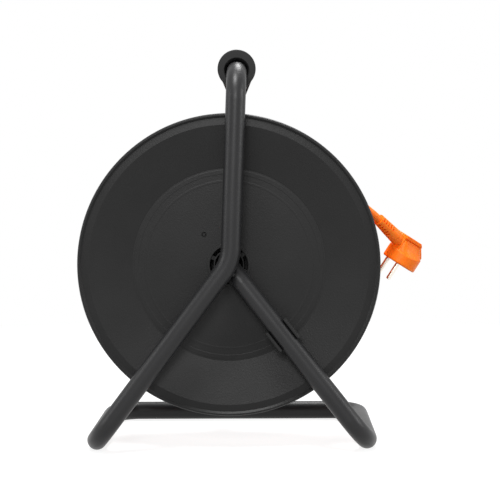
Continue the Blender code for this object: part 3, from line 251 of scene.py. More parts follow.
KNOB_PROFILE = (
    (KNOB_BORE, KNOB_RECESS), (0.0058, KNOB_RECESS, 0.0003), (0.0058, KNOB_TOP, 0.0006),
    (0.0092, KNOB_TOP, 0.002), (0.0115, KNOB_TOP - 0.0042, 0.003),
    (0.0115, KNOB_TOP - 0.0122, 0.004), (0.0075, KNOB_FOOT + 0.007, 0.006),
    (0.009, KNOB_FOOT + 0.001, 0.0006), (0.009, KNOB_FOOT, 0.0003), (KNOB_BORE, KNOB_FOOT))
KNOB_BOSS = ((KNOB_BORE, 0), (0.0058, 0), (0.0058, -0.006), (0.0072, -0.008))
KNOB_BOSS_ROUNDING = 0.0006

# Cable; the outer layer of its winding, the layers below it, and the free stretch
WINDING_INSET = 0.02
WINDING_PITCH = 0.00915
WINDING_TURNS = 9.5
WINDING_END = 0.038
WINDING_TAIL = 0.051
EXIT_ANGLE = math.radians(49)
TURN_POINTS = 72
DIP_POINTS = 6
LAYER_DROP = 0.0014
LAYER_HOLLOW = 0.003
LAYER_GAP = 0.0004
LAYER_ROWS = 240
CORD_LEAD = 0.011
CORD_POINTS = 32
CORD_INSIDE = 0.016
CORD_INSIDE_POINTS = 4

# Plug; sections of its base and its scoops are a height, a middle, half a length, half a width,
# a squareness and a dip
PLUG_FACE = (0.1773, -0.019, 0.186)
PLUG_TILT = math.radians(32.7)
PLUG_TURN = math.radians(31.8)
PLUG_RADIUS = 0.0188
PLUG_POINTS = 96
PLUG_RINGS = (
    (0, 0, 0.0173, 0.0173, 2, 0), (0.0004, 0, 0.0184, 0.0184, 2, 0),
    (0.0015, 0, 0.0188, 0.0188, 2, 0), (0.0145, 0, 0.0188, 0.0188, 2, 0.0032),
    (0.0155, 0, 0.0178, 0.0178, 2, 0.0032), (0.0186, -0.001, 0.016, 0.0132, 3, 0.0012),
    (0.0225, -0.0028, 0.0136, 0.011, 4, 0), (0.0258, -0.0042, 0.0118, 0.0098, 5, 0),
)
PLUG_SHOULDER = 0.0176
PLUG_HEIGHT = 0.0304
PLUG_BACK = -0.0165
PLUG_FRONT = 0.0165
PLUG_TOP_FRONT = 0.0045
PLUG_GRID = 0.0004
RIDGE_HALF = 0.0085
RIDGE_FOOT = 0.002
RIDGE_OVERLAP = 0.001
LIP_HALF = 0.011
LIP_HEIGHT = 0.0037
PIN_OFFSET = -0.0078
PIN_LENGTH = 0.019
PIN_ROUNDING = 0.0012
NECK_TIP = (-0.0234, 0.0, 0.0229)
NECK_TILT = math.radians(10)
PLUG_NECK = 0.0074
RELIEF_LENGTH = 0.0295
RELIEF_END = 0.006
RELIEF_ROWS = 150
RELIEF_SIDES = 96
# Slots: where they lie along the relief, their part of a pitch, and their part of its sides
RELIEF_SLOTS = 5
SLOT_DEPTH = 0.003
SLOT_ZONE = (0.3, 0.95)
SLOT_PITCH = (0.26, 0.74)
SLOT_SIDES = (0.38, 0.88)

# Camera
CAMERA_PLACE = (0.04368, -1.49938, 0.29147)
CAMERA_YAW = math.radians(0.88)
CAMERA_PITCH = math.radians(-3.49)
CAMERA_ROLL = math.radians(-0.37)
CAMERA_LENS = 100.93
CAMERA_SENSOR = 36

# Lights, as name, place, width and power
LIGHTS = (
    ("key_softbox", (-0.2, -0.66, 1.72), 0.5, 28.0),
    ("front_softbox", (-0.08, -1.45, 0.72), 0.4, 8.5),
    ("left_softbox", (-1.50, -0.45, 0.6), 0.6, 4.5),
    ("right_softbox", (1.50, -0.4, 0.65), 0.6, 9.0),
    ("rear_softbox", (0.3, 0.85, 1.85), 0.7, 24.0),
)
LIGHT_TARGET = (0.0, -0.08, 0.19)
AMBIENT = 0.15
FLOOR_RADIUS = 1.1
FLOOR_SIDES = 96
FLOOR_LEVEL = -0.0003
FLOOR_TONE = (0.3, 0.3, 0.3, 1.0)
FLOOR_LIFT = 0.85

# Frames with Z along the drum's axis and with Y along the carry bar
DRUM = Matrix.Translation((0, LEG_PLANE, HUB_HEIGHT)) @ Matrix.Rotation(-math.pi / 2, 4, "X")
BAR = Matrix.Translation((HANDLE_X, LEG_PLANE, HANDLE_HEIGHT))
BAR = BAR @ Matrix.Rotation(HANDLE_TURN, 4, "Z")
# The cord's way out of the plug, and two corners of the stand
CORD_WAY = Vector((-math.cos(NECK_TILT), 0, math.sin(NECK_TILT)))
RIGHT_FOOT = Vector((FOOT_RIGHT, LEG_PLANE, RAIL_HEIGHT))
AXLE_CORNER = Vector((0, LEG_PLANE + AXLE_SETBACK, HUB_HEIGHT))


def metres(label, what, default):
    """A length that a user can set."""
    return bpy.props.FloatProperty(name=label, description=what, default=default, unit="LENGTH")


def to_linear(code):
    """A hex code of what the eye sees, as linear red, green and blue."""
    values = (int(code[i:i + 2], 16) / 255 for i in (1, 3, 5))
    return tuple(v / 12.92 if v <= 0.04045 else ((v + 0.055) / 1.055) ** 2.4 for v in values)


def colour(label, what, code):
    """A colour that a user can set."""
    return bpy.props.FloatVectorProperty(
        name=label, description=what, subtype="COLOR", size=3, min=0, max=1,
        default=to_linear(code))


class ReelSizes(bpy.types.PropertyGroup):
    """Sizes that a user would change."""

    tube: metres("Tube", "Outside diameter of the stand's tube", 0.02)
    drum: metres("Drum", "Radius of the drum's flanges", 0.1545)
    cable: metres("Cable", "Outside diameter of the cable", 0.0085)


class ReelColours(bpy.types.PropertyGroup):
    """Colours that a user would change."""

    paint: colour("Paint", "Powder coat of the stand", "#1b1b1c")
    plastic: colour("Plastic", "Moulded plastic of the drum", "#262626")
    grip: colour("Grip", "Moulded plastic of the carry grip", "#272727")
    cable: colour("Cable", "Sheath of the cable and the plug", "#ff7b18")
    button: colour("Button", "Reset button", "#b81d16")
    nylon: colour("Nylon", "Neck of the cut-out", "#d9d8d2")


def node(tree, kind, settings):
    """Set up a new node or one that is there; lower-case keys are properties, the rest sockets."""
    made = tree.nodes.new(kind) if isinstance(kind, str) else kind
    for key, value in settings.items():
        if isinstance(key, str) and key.islower():
            setattr(made, key, value)
        elif isinstance(value, bpy.types.NodeSocket):
            tree.links.new(value, made.inputs[key])
        else:
            made.inputs[key].default_value = value
    return made


# Size of the soft drift in tone and gloss, and how far the gloss drifts
CLOUD = 0.03
GLOSS_DRIFT = 0.05
METALS = {"nickel_plate": "#dcd6cc", "zinc_plated_steel": "#a9abad", "brass_strip": "#b08d4a"}
LOOKS = {}


def surface(name, tone, rough, grain, depth, drift=0.1, metal=0.0, shine=0.5):
    """A skin with a fine grain, whose tone and gloss drift a little from place to place.

    Shine is the level of its gloss, lower where a grain swallows part of it.
    """
    made = bpy.data.materials.new(name)
    made.use_nodes = True
    tree = made.node_tree
    where = node(tree, "ShaderNodeTexCoord", {}).outputs["Object"]

    def noise(size, detail):
        settings = {"Vector": where, "Scale": 1 / size, "Detail": detail}
        return node(tree, "ShaderNodeTexNoise", settings).outputs["Fac"]

    cloud, fine = noise(CLOUD, 3.0), noise(grain, 2.0)
    shares = (1 - drift, 1 + drift)
    dark, light = ([channel * share for channel in tone] + [1.0] for share in shares)
    # The colours of a Mix node are its inputs 6 and 7 and its output 2
    tint = node(tree, "ShaderNodeMix", {"data_type": "RGBA", 0: cloud, 6: dark, 7: light})
    gloss = node(tree, "ShaderNodeMapRange", {
        "Value": cloud, "To Min": rough - GLOSS_DRIFT, "To Max": rough + GLOSS_DRIFT})
    bump = node(tree, "ShaderNodeBump", {"Height": fine, "Distance": depth, "Strength": 1.0})
    node(tree, tree.nodes["Principled BSDF"], {
        "Base Color": tint.outputs[2], "Roughness": gloss.outputs[0], "Normal": bump.outputs[0],
        "Metallic": metal, "Specular IOR Level": shine})
    return made


def make_looks():
    """One material for each thing that the reel is made of.

    Grains are drawn coarser than the real ones, which are too fine to show.
    """
    tones = bpy.context.scene.reel_colours
    # Powder coat: a satin skin with a soft orange peel
    LOOKS["paint"] = surface(
        "satin_powder_coat", tones.paint, 0.4, 0.0014, 0.00004, shine=0.3)
    # Polypropylene from a spark-eroded mould: a dull sheen, broken up by the grain
    LOOKS["plastic"] = surface(
        "moulded_polypropylene", tones.plastic, 0.38, 0.0014, 0.00014, shine=0.12)
    # Grip: a finer, drier grain that scatters the light
    LOOKS["grip"] = surface(
        "grained_polypropylene", tones.grip, 0.5, 0.001, 0.00006, shine=0.1)
    # Soft PVC: an even, slightly waxy sheath that light enters a little
    LOOKS["cable"] = surface("soft_pvc", tones.cable, 0.42, 0.0012, 0.00003, 0.04, shine=0.2)
    made = LOOKS["cable"].node_tree
    node(made, made.nodes["Principled BSDF"], {
        "Subsurface Weight": 0.25, "Subsurface Radius": (1.0, 0.3, 0.1),
        "Subsurface Scale": 0.003})
    # ABS from a polished mould: smooth, with a soft gloss
    LOOKS["button"] = surface("moulded_abs", tones.button, 0.32, 0.001, 0.00002, 0.05)
    # Nylon: smooth and a little dull
    LOOKS["nylon"] = surface("moulded_nylon", tones.nylon, 0.42, 0.001, 0.00003, 0.05)
    for name, code in METALS.items():
        # Plated and stamped metal: bright, with fine drawing marks
        LOOKS[name] = surface(name, to_linear(code), 0.28, 0.0008, 0.00002, 0.06, 1.0)


def angles(count):
    """Even turns round a circle."""
    return [2 * math.pi * i / count for i in range(count)]


def bent(corners, step=BEND_STEP):
    """Points along straight runs; each corner carries the radius of its bend."""
    points = [Vector(corners[0][0])]
    for (before, _), (corner, radius), (after, _) in zip(corners, corners[1:], corners[2:]):
        corner = Vector(corner)
        back = (Vector(before) - corner).normalized()
        ahead = (Vector(after) - corner).normalized()
        half = back.angle(ahead) / 2
        if radius == 0 or half > math.pi / 2 - STRAIGHT:
            points.append(corner)
            continue
        centre = corner + (back + ahead).normalized() * radius / math.sin(half)
        start = corner + back * radius / math.tan(half) - centre
        end = corner + ahead * radius / math.tan(half) - centre
        sweep = start.angle(end)
        count = math.ceil(sweep / step)
        axis = start.cross(end)
        for i in range(count + 1):
            points.append(centre + Matrix.Rotation(sweep * i / count, 3, axis) @ start)
    points.append(Vector(corners[-1][0]))
    return points


def rounded(profile, radius=0.0):
    """A turned outline of (radius, height); a corner has its own rounding or the one given."""
    corners = [((r, 0, h), own[0] if own else radius) for r, h, *own in profile]
    return [(point.x, point.z) for point in bent(corners, EDGE_STEP)]


def turned(profile, steps, matrix):
    """Rings of points round the matrix's Z axis."""
    rings = []
    for radius, height in profile:
        turns = angles(steps if radius > POLE else 1)
        rings.append([
            matrix @ Vector((radius * math.cos(a), radius * math.sin(a), height)) for a in turns])
    return rings


def swept(path, radius, sides):
    """Rings of points along a path, without twist."""
    rings = []
    out = (path[1] - path[0]).orthogonal()
    turns = angles(sides)
    for before, point, after in zip(path[:1] + path, path, path[1:] + path[-1:]):
        along = (after - before).normalized()
        out = (out - along * out.dot(along)).normalized()
        side = along.cross(out)
        rings.append([point + (out * math.cos(a) + side * math.sin(a)) * radius for a in turns])
    return rings


def loft(bm, rings, loop=False, caps=False):
    """Skin rings of points; a ring of one point is a pole."""
    rows = [[bm.verts.new(point) for point in ring] for ring in rings]
    for a, b in zip(rows, rows[1:] + rows[:1] if loop else rows[1:]):
        steps = max(len(a), len(b))
        for i in range(steps):
            j = (i + 1) % steps
            corners = (a[i % len(a)], a[j % len(a)], b[j % len(b)], b[i % len(b)])
            corners = list(dict.fromkeys(corners))
            if len(corners) > 2:
                bm.faces.new(corners)
    for row in (rows[0], rows[-1]) if caps else ():
        bm.faces.new(row)


def block(bm, size, matrix, edge):
    """A box with rounded edges."""
    made = bmesh.ops.create_cube(bm, size=1.0, matrix=matrix @ Matrix.Diagonal((*size, 1.0)))
    edges = list({e for vert in made["verts"] for e in vert.link_edges})
    bmesh.ops.bevel(bm, geom=edges, offset=edge, segments=3, profile=0.5, affect="EDGES")


def rod(bm, start, end, radius, steps=ROD_STEPS):
    """A plain closed cylinder between two points."""
    loft(bm, swept([Vector(start), Vector(end)], radius, steps), caps=True)


def lathe(profile, steps, matrix, rounding=0.0, loop=False):
    """A form turned round the matrix's Z axis, with its corners rounded."""
    form = bmesh.new()
    loft(form, turned(rounded(profile, rounding), steps, matrix), loop)
    return form


def mesh_of(bm, name):
    bmesh.ops.recalc_face_normals(bm, faces=bm.faces)
    mesh = bpy.data.meshes.new(name)
    bm.to_mesh(mesh)
    bm.free()
    return mesh


def carved(bm, tool):
    """A form with another one cut out of it."""
    pair = [bpy.data.objects.new(name, mesh_of(form, name))
            for name, form in (("form", bm), ("tool", tool))]
    for item in pair:
        bpy.context.scene.collection.objects.link(item)
    step = pair[0].modifiers.new("cut", "BOOLEAN")
    step.operation = "DIFFERENCE"
    step.object = pair[1]
    whole = pair[0].evaluated_get(bpy.context.evaluated_depsgraph_get())
    mesh = bpy.data.meshes.new_from_object(whole)
    for item in pair:
        bpy.data.objects.remove(item)
    result = bmesh.new()
    result.from_mesh(mesh)
    return result


def show(name, bm, look, body, nodes):
    """One piece that is seen: it rides on a body and stands for CAD nodes."""
    data = bm if isinstance(bm, bpy.types.ID) else mesh_of(bm, name)
    if isinstance(data, bpy.types.Mesh):
        data.shade_smooth()
        data.set_sharp_from_angle(angle=CREASE)
    piece = bpy.data.objects.new(name, data)
    bpy.context.scene.collection.objects.link(piece)
    data.materials.clear()
    data.materials.append(LOOKS[look])
    if isinstance(data, bpy.types.Mesh):
        # Keeps the shading of broad faces flat up to their rounded edges
        piece.modifiers.new("even_shading", "WEIGHTED_NORMAL").keep_sharp = True
    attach(piece, body)
    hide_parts(*nodes)
    return piece


def dress(look, slot, *names, edge=0.0):
    """Give CAD nodes that stay in view a material and, where wanted, a soft edge."""
    for name in names:
        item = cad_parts[name]
        item.data.materials.clear()
        item.data.materials.append(LOOKS[look])
        if edge:
            soft = item.modifiers.new("soft_edge", "BEVEL")
            soft.width = edge
            soft.segments = 2
            soft.limit_method = "ANGLE"


def polar(radius, degrees, depth):
    """A place in the drum's frame."""
    angle = math.radians(degrees)
    return Vector((radius * math.cos(angle), radius * math.sin(angle), depth))


def winding_point(back):
    """The cable's middle line in the drum's frame, an angle before it leaves the drum."""
    angle = EXIT_ANGLE + back
    radius = bpy.context.scene.reel_sizes.drum - WINDING_INSET
    depth = WINDING_END + WINDING_PITCH * back / (2 * math.pi)
    return Vector((radius * math.cos(angle), -radius * math.sin(angle), depth))


def plug_frame():
    """Origin in the middle of the plug's face, X away from the cord, Z away from the pins."""
    in_view = Vector((math.cos(PLUG_TILT), 0, -math.sin(PLUG_TILT)))
    up = Vector((math.sin(PLUG_TILT), 0, math.cos(PLUG_TILT)))
    along = in_view * math.cos(PLUG_TURN) + Vector((0, 1, 0)) * math.sin(PLUG_TURN)
    matrix = Matrix((along, up.cross(along), up)).transposed().to_4x4()
    matrix.translation = Vector(PLUG_FACE)
    return matrix


def cord_route():
    """The free stretch from the winding's end, and on into the strain relief."""
    off = Vector((math.sin(EXIT_ANGLE), 0, -math.cos(EXIT_ANGLE)))
    start = DRUM @ winding_point(0) + off * (WINDING_TAIL + JOINT_GAP)
    matrix = plug_frame()
    back = matrix.to_3x3() @ CORD_WAY
    end = matrix @ (Vector(NECK_TIP) + CORD_WAY * (RELIEF_LENGTH + 2 * JOINT_GAP))
    pulls = (start, start + off * CORD_LEAD, end + back * CORD_LEAD, end)
    points = []
    for i in range(CORD_POINTS + 1):
        t = i / CORD_POINTS
        weights = ((1 - t) ** 3, 3 * t * (1 - t) ** 2, 3 * t * t * (1 - t), t ** 3)
        points.append(sum((pull * weight for pull, weight in zip(pulls, weights)), Vector()))
    count = CORD_INSIDE_POINTS
    return points + [end - back * CORD_INSIDE * i / count for i in range(1, count + 1)]


class REEL_OT_cord(bpy.types.Operator):
    """Draw the free stretch of the cable, from the drum to the plug"""

    bl_idname = "reel.cord"
    bl_label = "Free cord"

    def execute(self, context):
        cable = context.scene.reel_sizes.cable
        points = cord_route()
        curve = bpy.data.curves.new("free_cord", "CURVE")
        curve.dimensions = "3D"
        curve.bevel_depth = cable / 2
        curve.bevel_resolution = 6
        curve.use_fill_caps = True
        line = curve.splines.new("POLY")
        line.points.add(len(points) - 1)
        for spot, point in zip(line.points, points):
            spot.co = (*point, 1.0)
        line.use_smooth = True
        piece = show("cord", curve, "cable", "frame", ["free_cord"])
        return {"FINISHED"}


class REEL_OT_plug(bpy.types.Operator):
    """Draw the moulded plug with its pins and its strain relief"""

    bl_idname = "reel.plug"
    bl_label = "Plug"

    def execute(self, context):
        matrix = plug_frame()
        self.body(matrix)
        self.sleeve(matrix)
        tip = PIN_LENGTH + JOINT_GAP
        profile = [(0, 0), (PIN_RADIUS, 0), (PIN_RADIUS, -tip, PIN_ROUNDING), (0, -tip)]
        for i, side in enumerate((-1, 1), 1):
            at = matrix @ Matrix.Translation((PIN_OFFSET, side * PIN_SPACING / 2, 0))
            form = lathe(profile, PIN_STEPS, at)
            show("pin_%d" % i, form, "nickel_plate", "frame", ["plug_pin_%d" % i])
        return {"FINISHED"}

    def body(self, matrix):
        """Base, ridge, lip and neck run into each other with soft edges."""
        form = bmesh.new()
        # A finger scoop on each side of the ridge dips the base's upper edge
        near = matrix.to_3x3().inverted() @ Vector((0, -1, 0))
        rings = [[matrix @ Vector((0, 0, 0))]]
        for level, middle, long, wide, square, dip in PLUG_RINGS:
            ring = []
            for turn in angles(PLUG_POINTS):
                way = (math.cos(turn), math.sin(turn))
                x, y = (math.copysign(abs(part) ** (2 / square), part) for part in way)
                sunk = dip * (near.x * way[0] + near.y * way[1]) ** 2
                ring.append(matrix @ Vector((middle + long * x, wide * y, level - sunk)))
            rings.append(ring)
        top, middle = PLUG_RINGS[-1][:2]
        loft(form, rings + [[matrix @ Vector((middle, 0, top))]])
        lip_foot = PLUG_HEIGHT - LIP_HEIGHT
        slant = (PLUG_FRONT - PLUG_TOP_FRONT) * LIP_HEIGHT / (PLUG_HEIGHT - PLUG_SHOULDER)
        lip_front = PLUG_TOP_FRONT + slant
        ridge_top = lip_foot + RIDGE_OVERLAP
        ridge = [(PLUG_BACK, RIDGE_FOOT), (PLUG_FRONT, RIDGE_FOOT), (PLUG_FRONT, PLUG_SHOULDER),
                 (lip_front, ridge_top), (PLUG_BACK, ridge_top)]
        lip = [(PLUG_BACK, lip_foot), (lip_front, lip_foot), (PLUG_TOP_FRONT, PLUG_HEIGHT),
               (PLUG_BACK, PLUG_HEIGHT)]
        for outline, half in ((ridge, RIDGE_HALF), (lip, LIP_HALF)):
            sides = [[matrix @ Vector((x, y, z)) for x, z in outline] for y in (-half, half)]
            loft(form, sides, caps=True)
        tip = Vector(NECK_TIP)
        rod(form, matrix @ (tip - CORD_WAY * PLUG_RADIUS), matrix @ tip, PLUG_NECK)
        piece = show("plug", form, "cable", "frame", ["plug_body"])
        grid = piece.modifiers.new("one_skin", "REMESH")
        grid.mode = "VOXEL"
        grid.voxel_size = PLUG_GRID
        grid.use_smooth_shade = True
        soft = piece.modifiers.new("soft_edges", "SMOOTH")
        soft.iterations = 3

    def sleeve(self, matrix):
        """A taper with slots on both sides of a plain spine."""
        way = (matrix.to_3x3() @ CORD_WAY).normalized()
        start = matrix @ (Vector(NECK_TIP) + CORD_WAY * JOINT_GAP)
        spine = (Vector((0, -1, 0)) - way * way.dot(Vector((0, -1, 0)))).normalized()
        across = way.cross(spine)
        rings = [[start]]
        for row in range(RELIEF_ROWS + 1):
            share = row / RELIEF_ROWS
            reach = PLUG_NECK + (RELIEF_END - PLUG_NECK) * share
            place = (share - SLOT_ZONE[0]) / (SLOT_ZONE[1] - SLOT_ZONE[0])
            slot = 0 < place < 1 and SLOT_PITCH[0] < place * RELIEF_SLOTS % 1 < SLOT_PITCH[1]
            ring = []
            for angle in angles(RELIEF_SIDES):
                cut = slot and SLOT_SIDES[0] < abs(math.sin(angle)) < SLOT_SIDES[1]
                sunk = SLOT_DEPTH if cut else 0.0
                out = spine * math.cos(angle) + across * math.sin(angle)
                ring.append(start + way * RELIEF_LENGTH * share + out * (reach - sunk))
            rings.append(ring)
        form = bmesh.new()
        loft(form, rings + [[start + way * RELIEF_LENGTH]])
        show("strain_relief_sleeve", form, "cable", "frame", ["strain_relief"])


class REEL_OT_winding(bpy.types.Operator):
    """Draw the cable on the drum: its outer layer, and the turns that show below it"""

    bl_idname = "reel.winding"
    bl_label = "Winding"

    def execute(self, context):
        sizes = context.scene.reel_sizes
        radius = sizes.cable / 2
        steps = round(WINDING_TURNS * TURN_POINTS)
        turn = 2 * math.pi / TURN_POINTS
        points = []
        for step in range(steps + DIP_POINTS, -1, -1):
            point = winding_point(min(step, steps) * turn)
            past = max(step - steps, 0)
            if past:
                # The start comes up from the layer below
                dip = Matrix.Rotation(-past * turn, 3, "Z") @ point
                sunk = sizes.cable * (1 - math.cos(math.pi * past / DIP_POINTS)) / 2
                shrink = 1 - sunk / point.xy.length
                point = Vector((dip.x * shrink, dip.y * shrink, dip.z))
            points.append(point)
        tail = Vector((math.sin(EXIT_ANGLE), math.cos(EXIT_ANGLE), 0))
        points.append(points[-1] + tail * WINDING_TAIL)
        form = bmesh.new()
        loft(form, swept([DRUM @ point for point in points], radius, CABLE_SIDES), caps=True)
        show("wound_cable", form, "cable", "drum", ["winding"])
        self.below(sizes)
        return {"FINISHED"}

    def below(self, sizes):
        """The layer below: turns that lie in the hollows of the outer layer."""
        outer = sizes.drum - WINDING_INSET - sizes.cable / 2 - LAYER_DROP
        dish = sizes.drum - BAND_INSET - DISC_RADIUS - STEP_RUN
        flare = (outer - DISC_RADIUS) * (DISH_DEPTH - STEP_RISE) / dish
        core, rear, front = CORE_RADIUS + LAYER_GAP, REAR_INNER + LAYER_GAP, FRONT_INNER - LAYER_GAP
        profile = [(core, rear), (DISC_RADIUS, rear)]
        start, end = rear - flare, front + flare
        for row in range(LAYER_ROWS + 1):
            depth = start + (end - start) * row / LAYER_ROWS
            phase = (depth - WINDING_END) / WINDING_PITCH % 1
            profile.append((outer - LAYER_HOLLOW * (1 - abs(math.sin(math.pi * phase))), depth))
        profile += [(DISC_RADIUS, front), (core, front)]
        form = bmesh.new()
        loft(form, turned(profile, PANEL_STEPS, DRUM), loop=True)
        show("lower_layers", form, "cable", "drum", ["winding_core"])


class REEL_OT_frame_tube(bpy.types.Operator):
    """Draw the stand, one tube bent from the carry bar to the axle"""

    bl_idname = "reel.frame_tube"
    bl_label = "Stand"

    def execute(self, context):
        far = Vector((0, BASE_DEPTH, 0))
        left = Vector((FOOT_LEFT, LEG_PLANE, RAIL_HEIGHT))
        bar_end = GRIP_START + GRIP_LENGTH - BAR_INSET
        path = bent([
            (BAR @ Vector((0, bar_end, 0)), 0), (BAR.translation, HANDLE_BEND),
            ((STEM_X, LEG_PLANE, STEM_TOP), STEM_BEND), (left, CORNER_BEND),
            (left + far, CORNER_BEND), (RIGHT_FOOT + far, CORNER_BEND), (RIGHT_FOOT, CORNER_BEND),
            (AXLE_CORNER, AXLE_BEND), ((0, LEG_PLANE + AXLE_END, HUB_HEIGHT), 0),
        ])
        form = bmesh.new()
        loft(form, swept(path, context.scene.reel_sizes.tube / 2, TUBE_SIDES), caps=True)
        for vert in form.verts:
            vert.co.z = max(vert.co.z, 0.0)
        # The weld where the two legs meet
        half = Vector(WELD_HALF)
        at = Matrix.Translation(Vector((0, LEG_PLANE, HUB_HEIGHT)) + Vector(WELD_FROM_HUB))
        at = at @ half.to_track_quat("Z", "Y").to_matrix().to_4x4()
        bead = [(0, -half.length), (WELD_RADIUS, -half.length, WELD_RADIUS / 2),
                (WELD_RADIUS, half.length, WELD_RADIUS / 2), (0, half.length)]
        loft(form, turned(rounded(bead), WELD_STEPS, at))
        show("stand", form, "paint", "frame", ["frame_tube"])
        return {"FINISHED"}


def egg(radius, foot, lean):
    """Round above, with flanks that draw in to a blunt foot, as (across, up) from the foot."""
    points = []
    for turn in angles(GRIP_POINTS):
        down = min(turn, 2 * math.pi - turn)
        reach = radius
        if down < lean:
            flank, sole = radius / math.cos(lean - down), foot / max(math.cos(down), EGG_LIMIT)
            reach = (flank ** -EGG_POWER + sole ** -EGG_POWER) ** (-1 / EGG_POWER)
        points.append((reach * math.sin(turn), -reach * math.cos(turn)))
    return points


class REEL_OT_carry_grip(bpy.types.Operator):
    """Draw the grip on the carry bar, with its guard at the stem"""

    bl_idname = "reel.carry_grip"
    bl_label = "Carry grip"

    def execute(self, context):
        start, end = GRIP_START, GRIP_START + GRIP_LENGTH

        def section(at, radius, foot, lean):
            return [BAR @ Vector((x, at, z + GRIP_RISE)) for x, z in egg(radius, foot, lean)]

        def circle(at, radius, rise=0.0):
            return [BAR @ Vector((radius * math.sin(a), at, rise - radius * math.cos(a)))
                    for a in angles(GRIP_POINTS)]

        def edge(at, inward, radius, foot, lean):
            """The rounded edge of a plate, from its face inwards."""
            rings = []
            for i in range(GRIP_EDGE_STEPS + 1):
                angle = math.pi / 2 * i / GRIP_EDGE_STEPS
                sunk = GRIP_ROUNDING * (1 - math.sin(angle))
                shift = inward * GRIP_ROUNDING * (1 - math.cos(angle))
                rings.append(section(at + shift, radius - sunk, foot - sunk, lean))
            return rings

        rings = [circle(start + GRIP_BORE_DEPTH, GRIP_BORE),
                 circle(start + GRIP_MOUTH_DEPTH, GRIP_BORE),
                 circle(start + GRIP_CHAMFER, GRIP_MOUTH, GRIP_MOUTH_RISE),
                 circle(start, GRIP_MOUTH + GRIP_CHAMFER, GRIP_MOUTH_RISE)]
        rings += edge(start, 1, *GUARD) + edge(start + GRIP_PLATE, -1, *GUARD)[::-1]
        rings += [section(at, *GRIP_BODY) for at in (start + GRIP_PLATE, end - GRIP_PLATE)]
        rings += edge(end - GRIP_PLATE, 1, *END_PLATE) + edge(end, -1, *END_PLATE)[::-1]
        rings += [section(end, *GRIP_BODY), [BAR @ Vector((0, end, GRIP_RISE))]]
        form = bmesh.new()
        loft(form, rings)
        show("grip", form, "grip", "frame", ["carry_grip"])
        return {"FINISHED"}


class REEL_OT_glide_clip(bpy.types.Operator):
    """Draw the clip that holds the flange off the right leg, with lips that reach round the tube"""

    bl_idname = "reel.glide_clip"
    bl_label = "Glide clip"

    def execute(self, context):
        along = (AXLE_CORNER - RIGHT_FOOT).normalized()
        to_drum = (Vector((0, 1, 0)) - along * along.y).normalized()
        at = Matrix((to_drum.cross(along), to_drum, along)).transposed().to_4x4()
        at.translation = AXLE_CORNER - along * CLIP_FROM_HUB
        start = -math.acos(CLIP_LIP_INNER / CLIP_BORE)
        corners = [
            (0, CLIP_PAD), (CLIP_PAD_HALF, CLIP_PAD), (CLIP_OUTER, CLIP_SHOULDER),
            (CLIP_OUTER, -CLIP_LIP), (CLIP_LIP_INNER, -CLIP_LIP),
            (CLIP_LIP_INNER, CLIP_BORE * math.sin(start))]
        half = bent([((x, 0, y), CLIP_ROUNDING) for x, y in corners], CLIP_EDGE_STEP)
        outline = [(point.x, point.z) for point in half]
        for i in range(1, CLIP_STEPS + 1):
            angle = start + (math.pi / 2 - start) * i / CLIP_STEPS
            outline.append((CLIP_BORE * math.cos(angle), CLIP_BORE * math.sin(angle)))
        outline += [(-x, y) for x, y in outline[-2:0:-1]]
        form = bmesh.new()
        ends = (-CLIP_LENGTH / 2, CLIP_LENGTH / 2)
        loft(form, [[at @ Vector((x, y, end)) for x, y in outline] for end in ends], caps=True)
        show("leg_clip", form, "plastic", "frame", ["glide_clip"])
        return {"FINISHED"}


def flange(face, out, drum):
    """A flange's outline from the disc's edge round the rim and back, as (radius, depth, rounding).

    Out is the way that its outer face looks.
    """
    band, groove, inside = drum - BAND_INSET, drum - RIM_WIDTH, drum - WALL
    lip = BAND_RISE - RIM_LIP
    rises = [
        (DISC_RADIUS, 0, 0.0002), (DISC_RADIUS + STEP_RUN, STEP_RISE, 0.0002),
        (band, DISH_DEPTH, 0.0005), (groove, BAND_RISE, 0.0002),
        (groove + BEAD_SLOPE, BEAD_RISE, 0.0004), (drum - BEAD_EDGE, BEAD_RISE, 0.0006),
        (drum, BAND_RISE, 0.0004), (drum, lip, 0.0004), (inside, lip, 0.0004),
        (inside, BAND_RISE - WALL, 0.0008), (band, DISH_DEPTH - WALL, 0.0012),
        (DISC_RADIUS + STEP_RUN, STEP_RISE - WALL, 0), (DISC_RADIUS, -WALL, 0),
        (CORE_RADIUS, -WALL, 0),
    ]
    outline = [(radius, face + out * rise, edge) for radius, rise, edge in rises]
    return outline + [(CORE_RADIUS, CORE_MIDDLE, 0)]


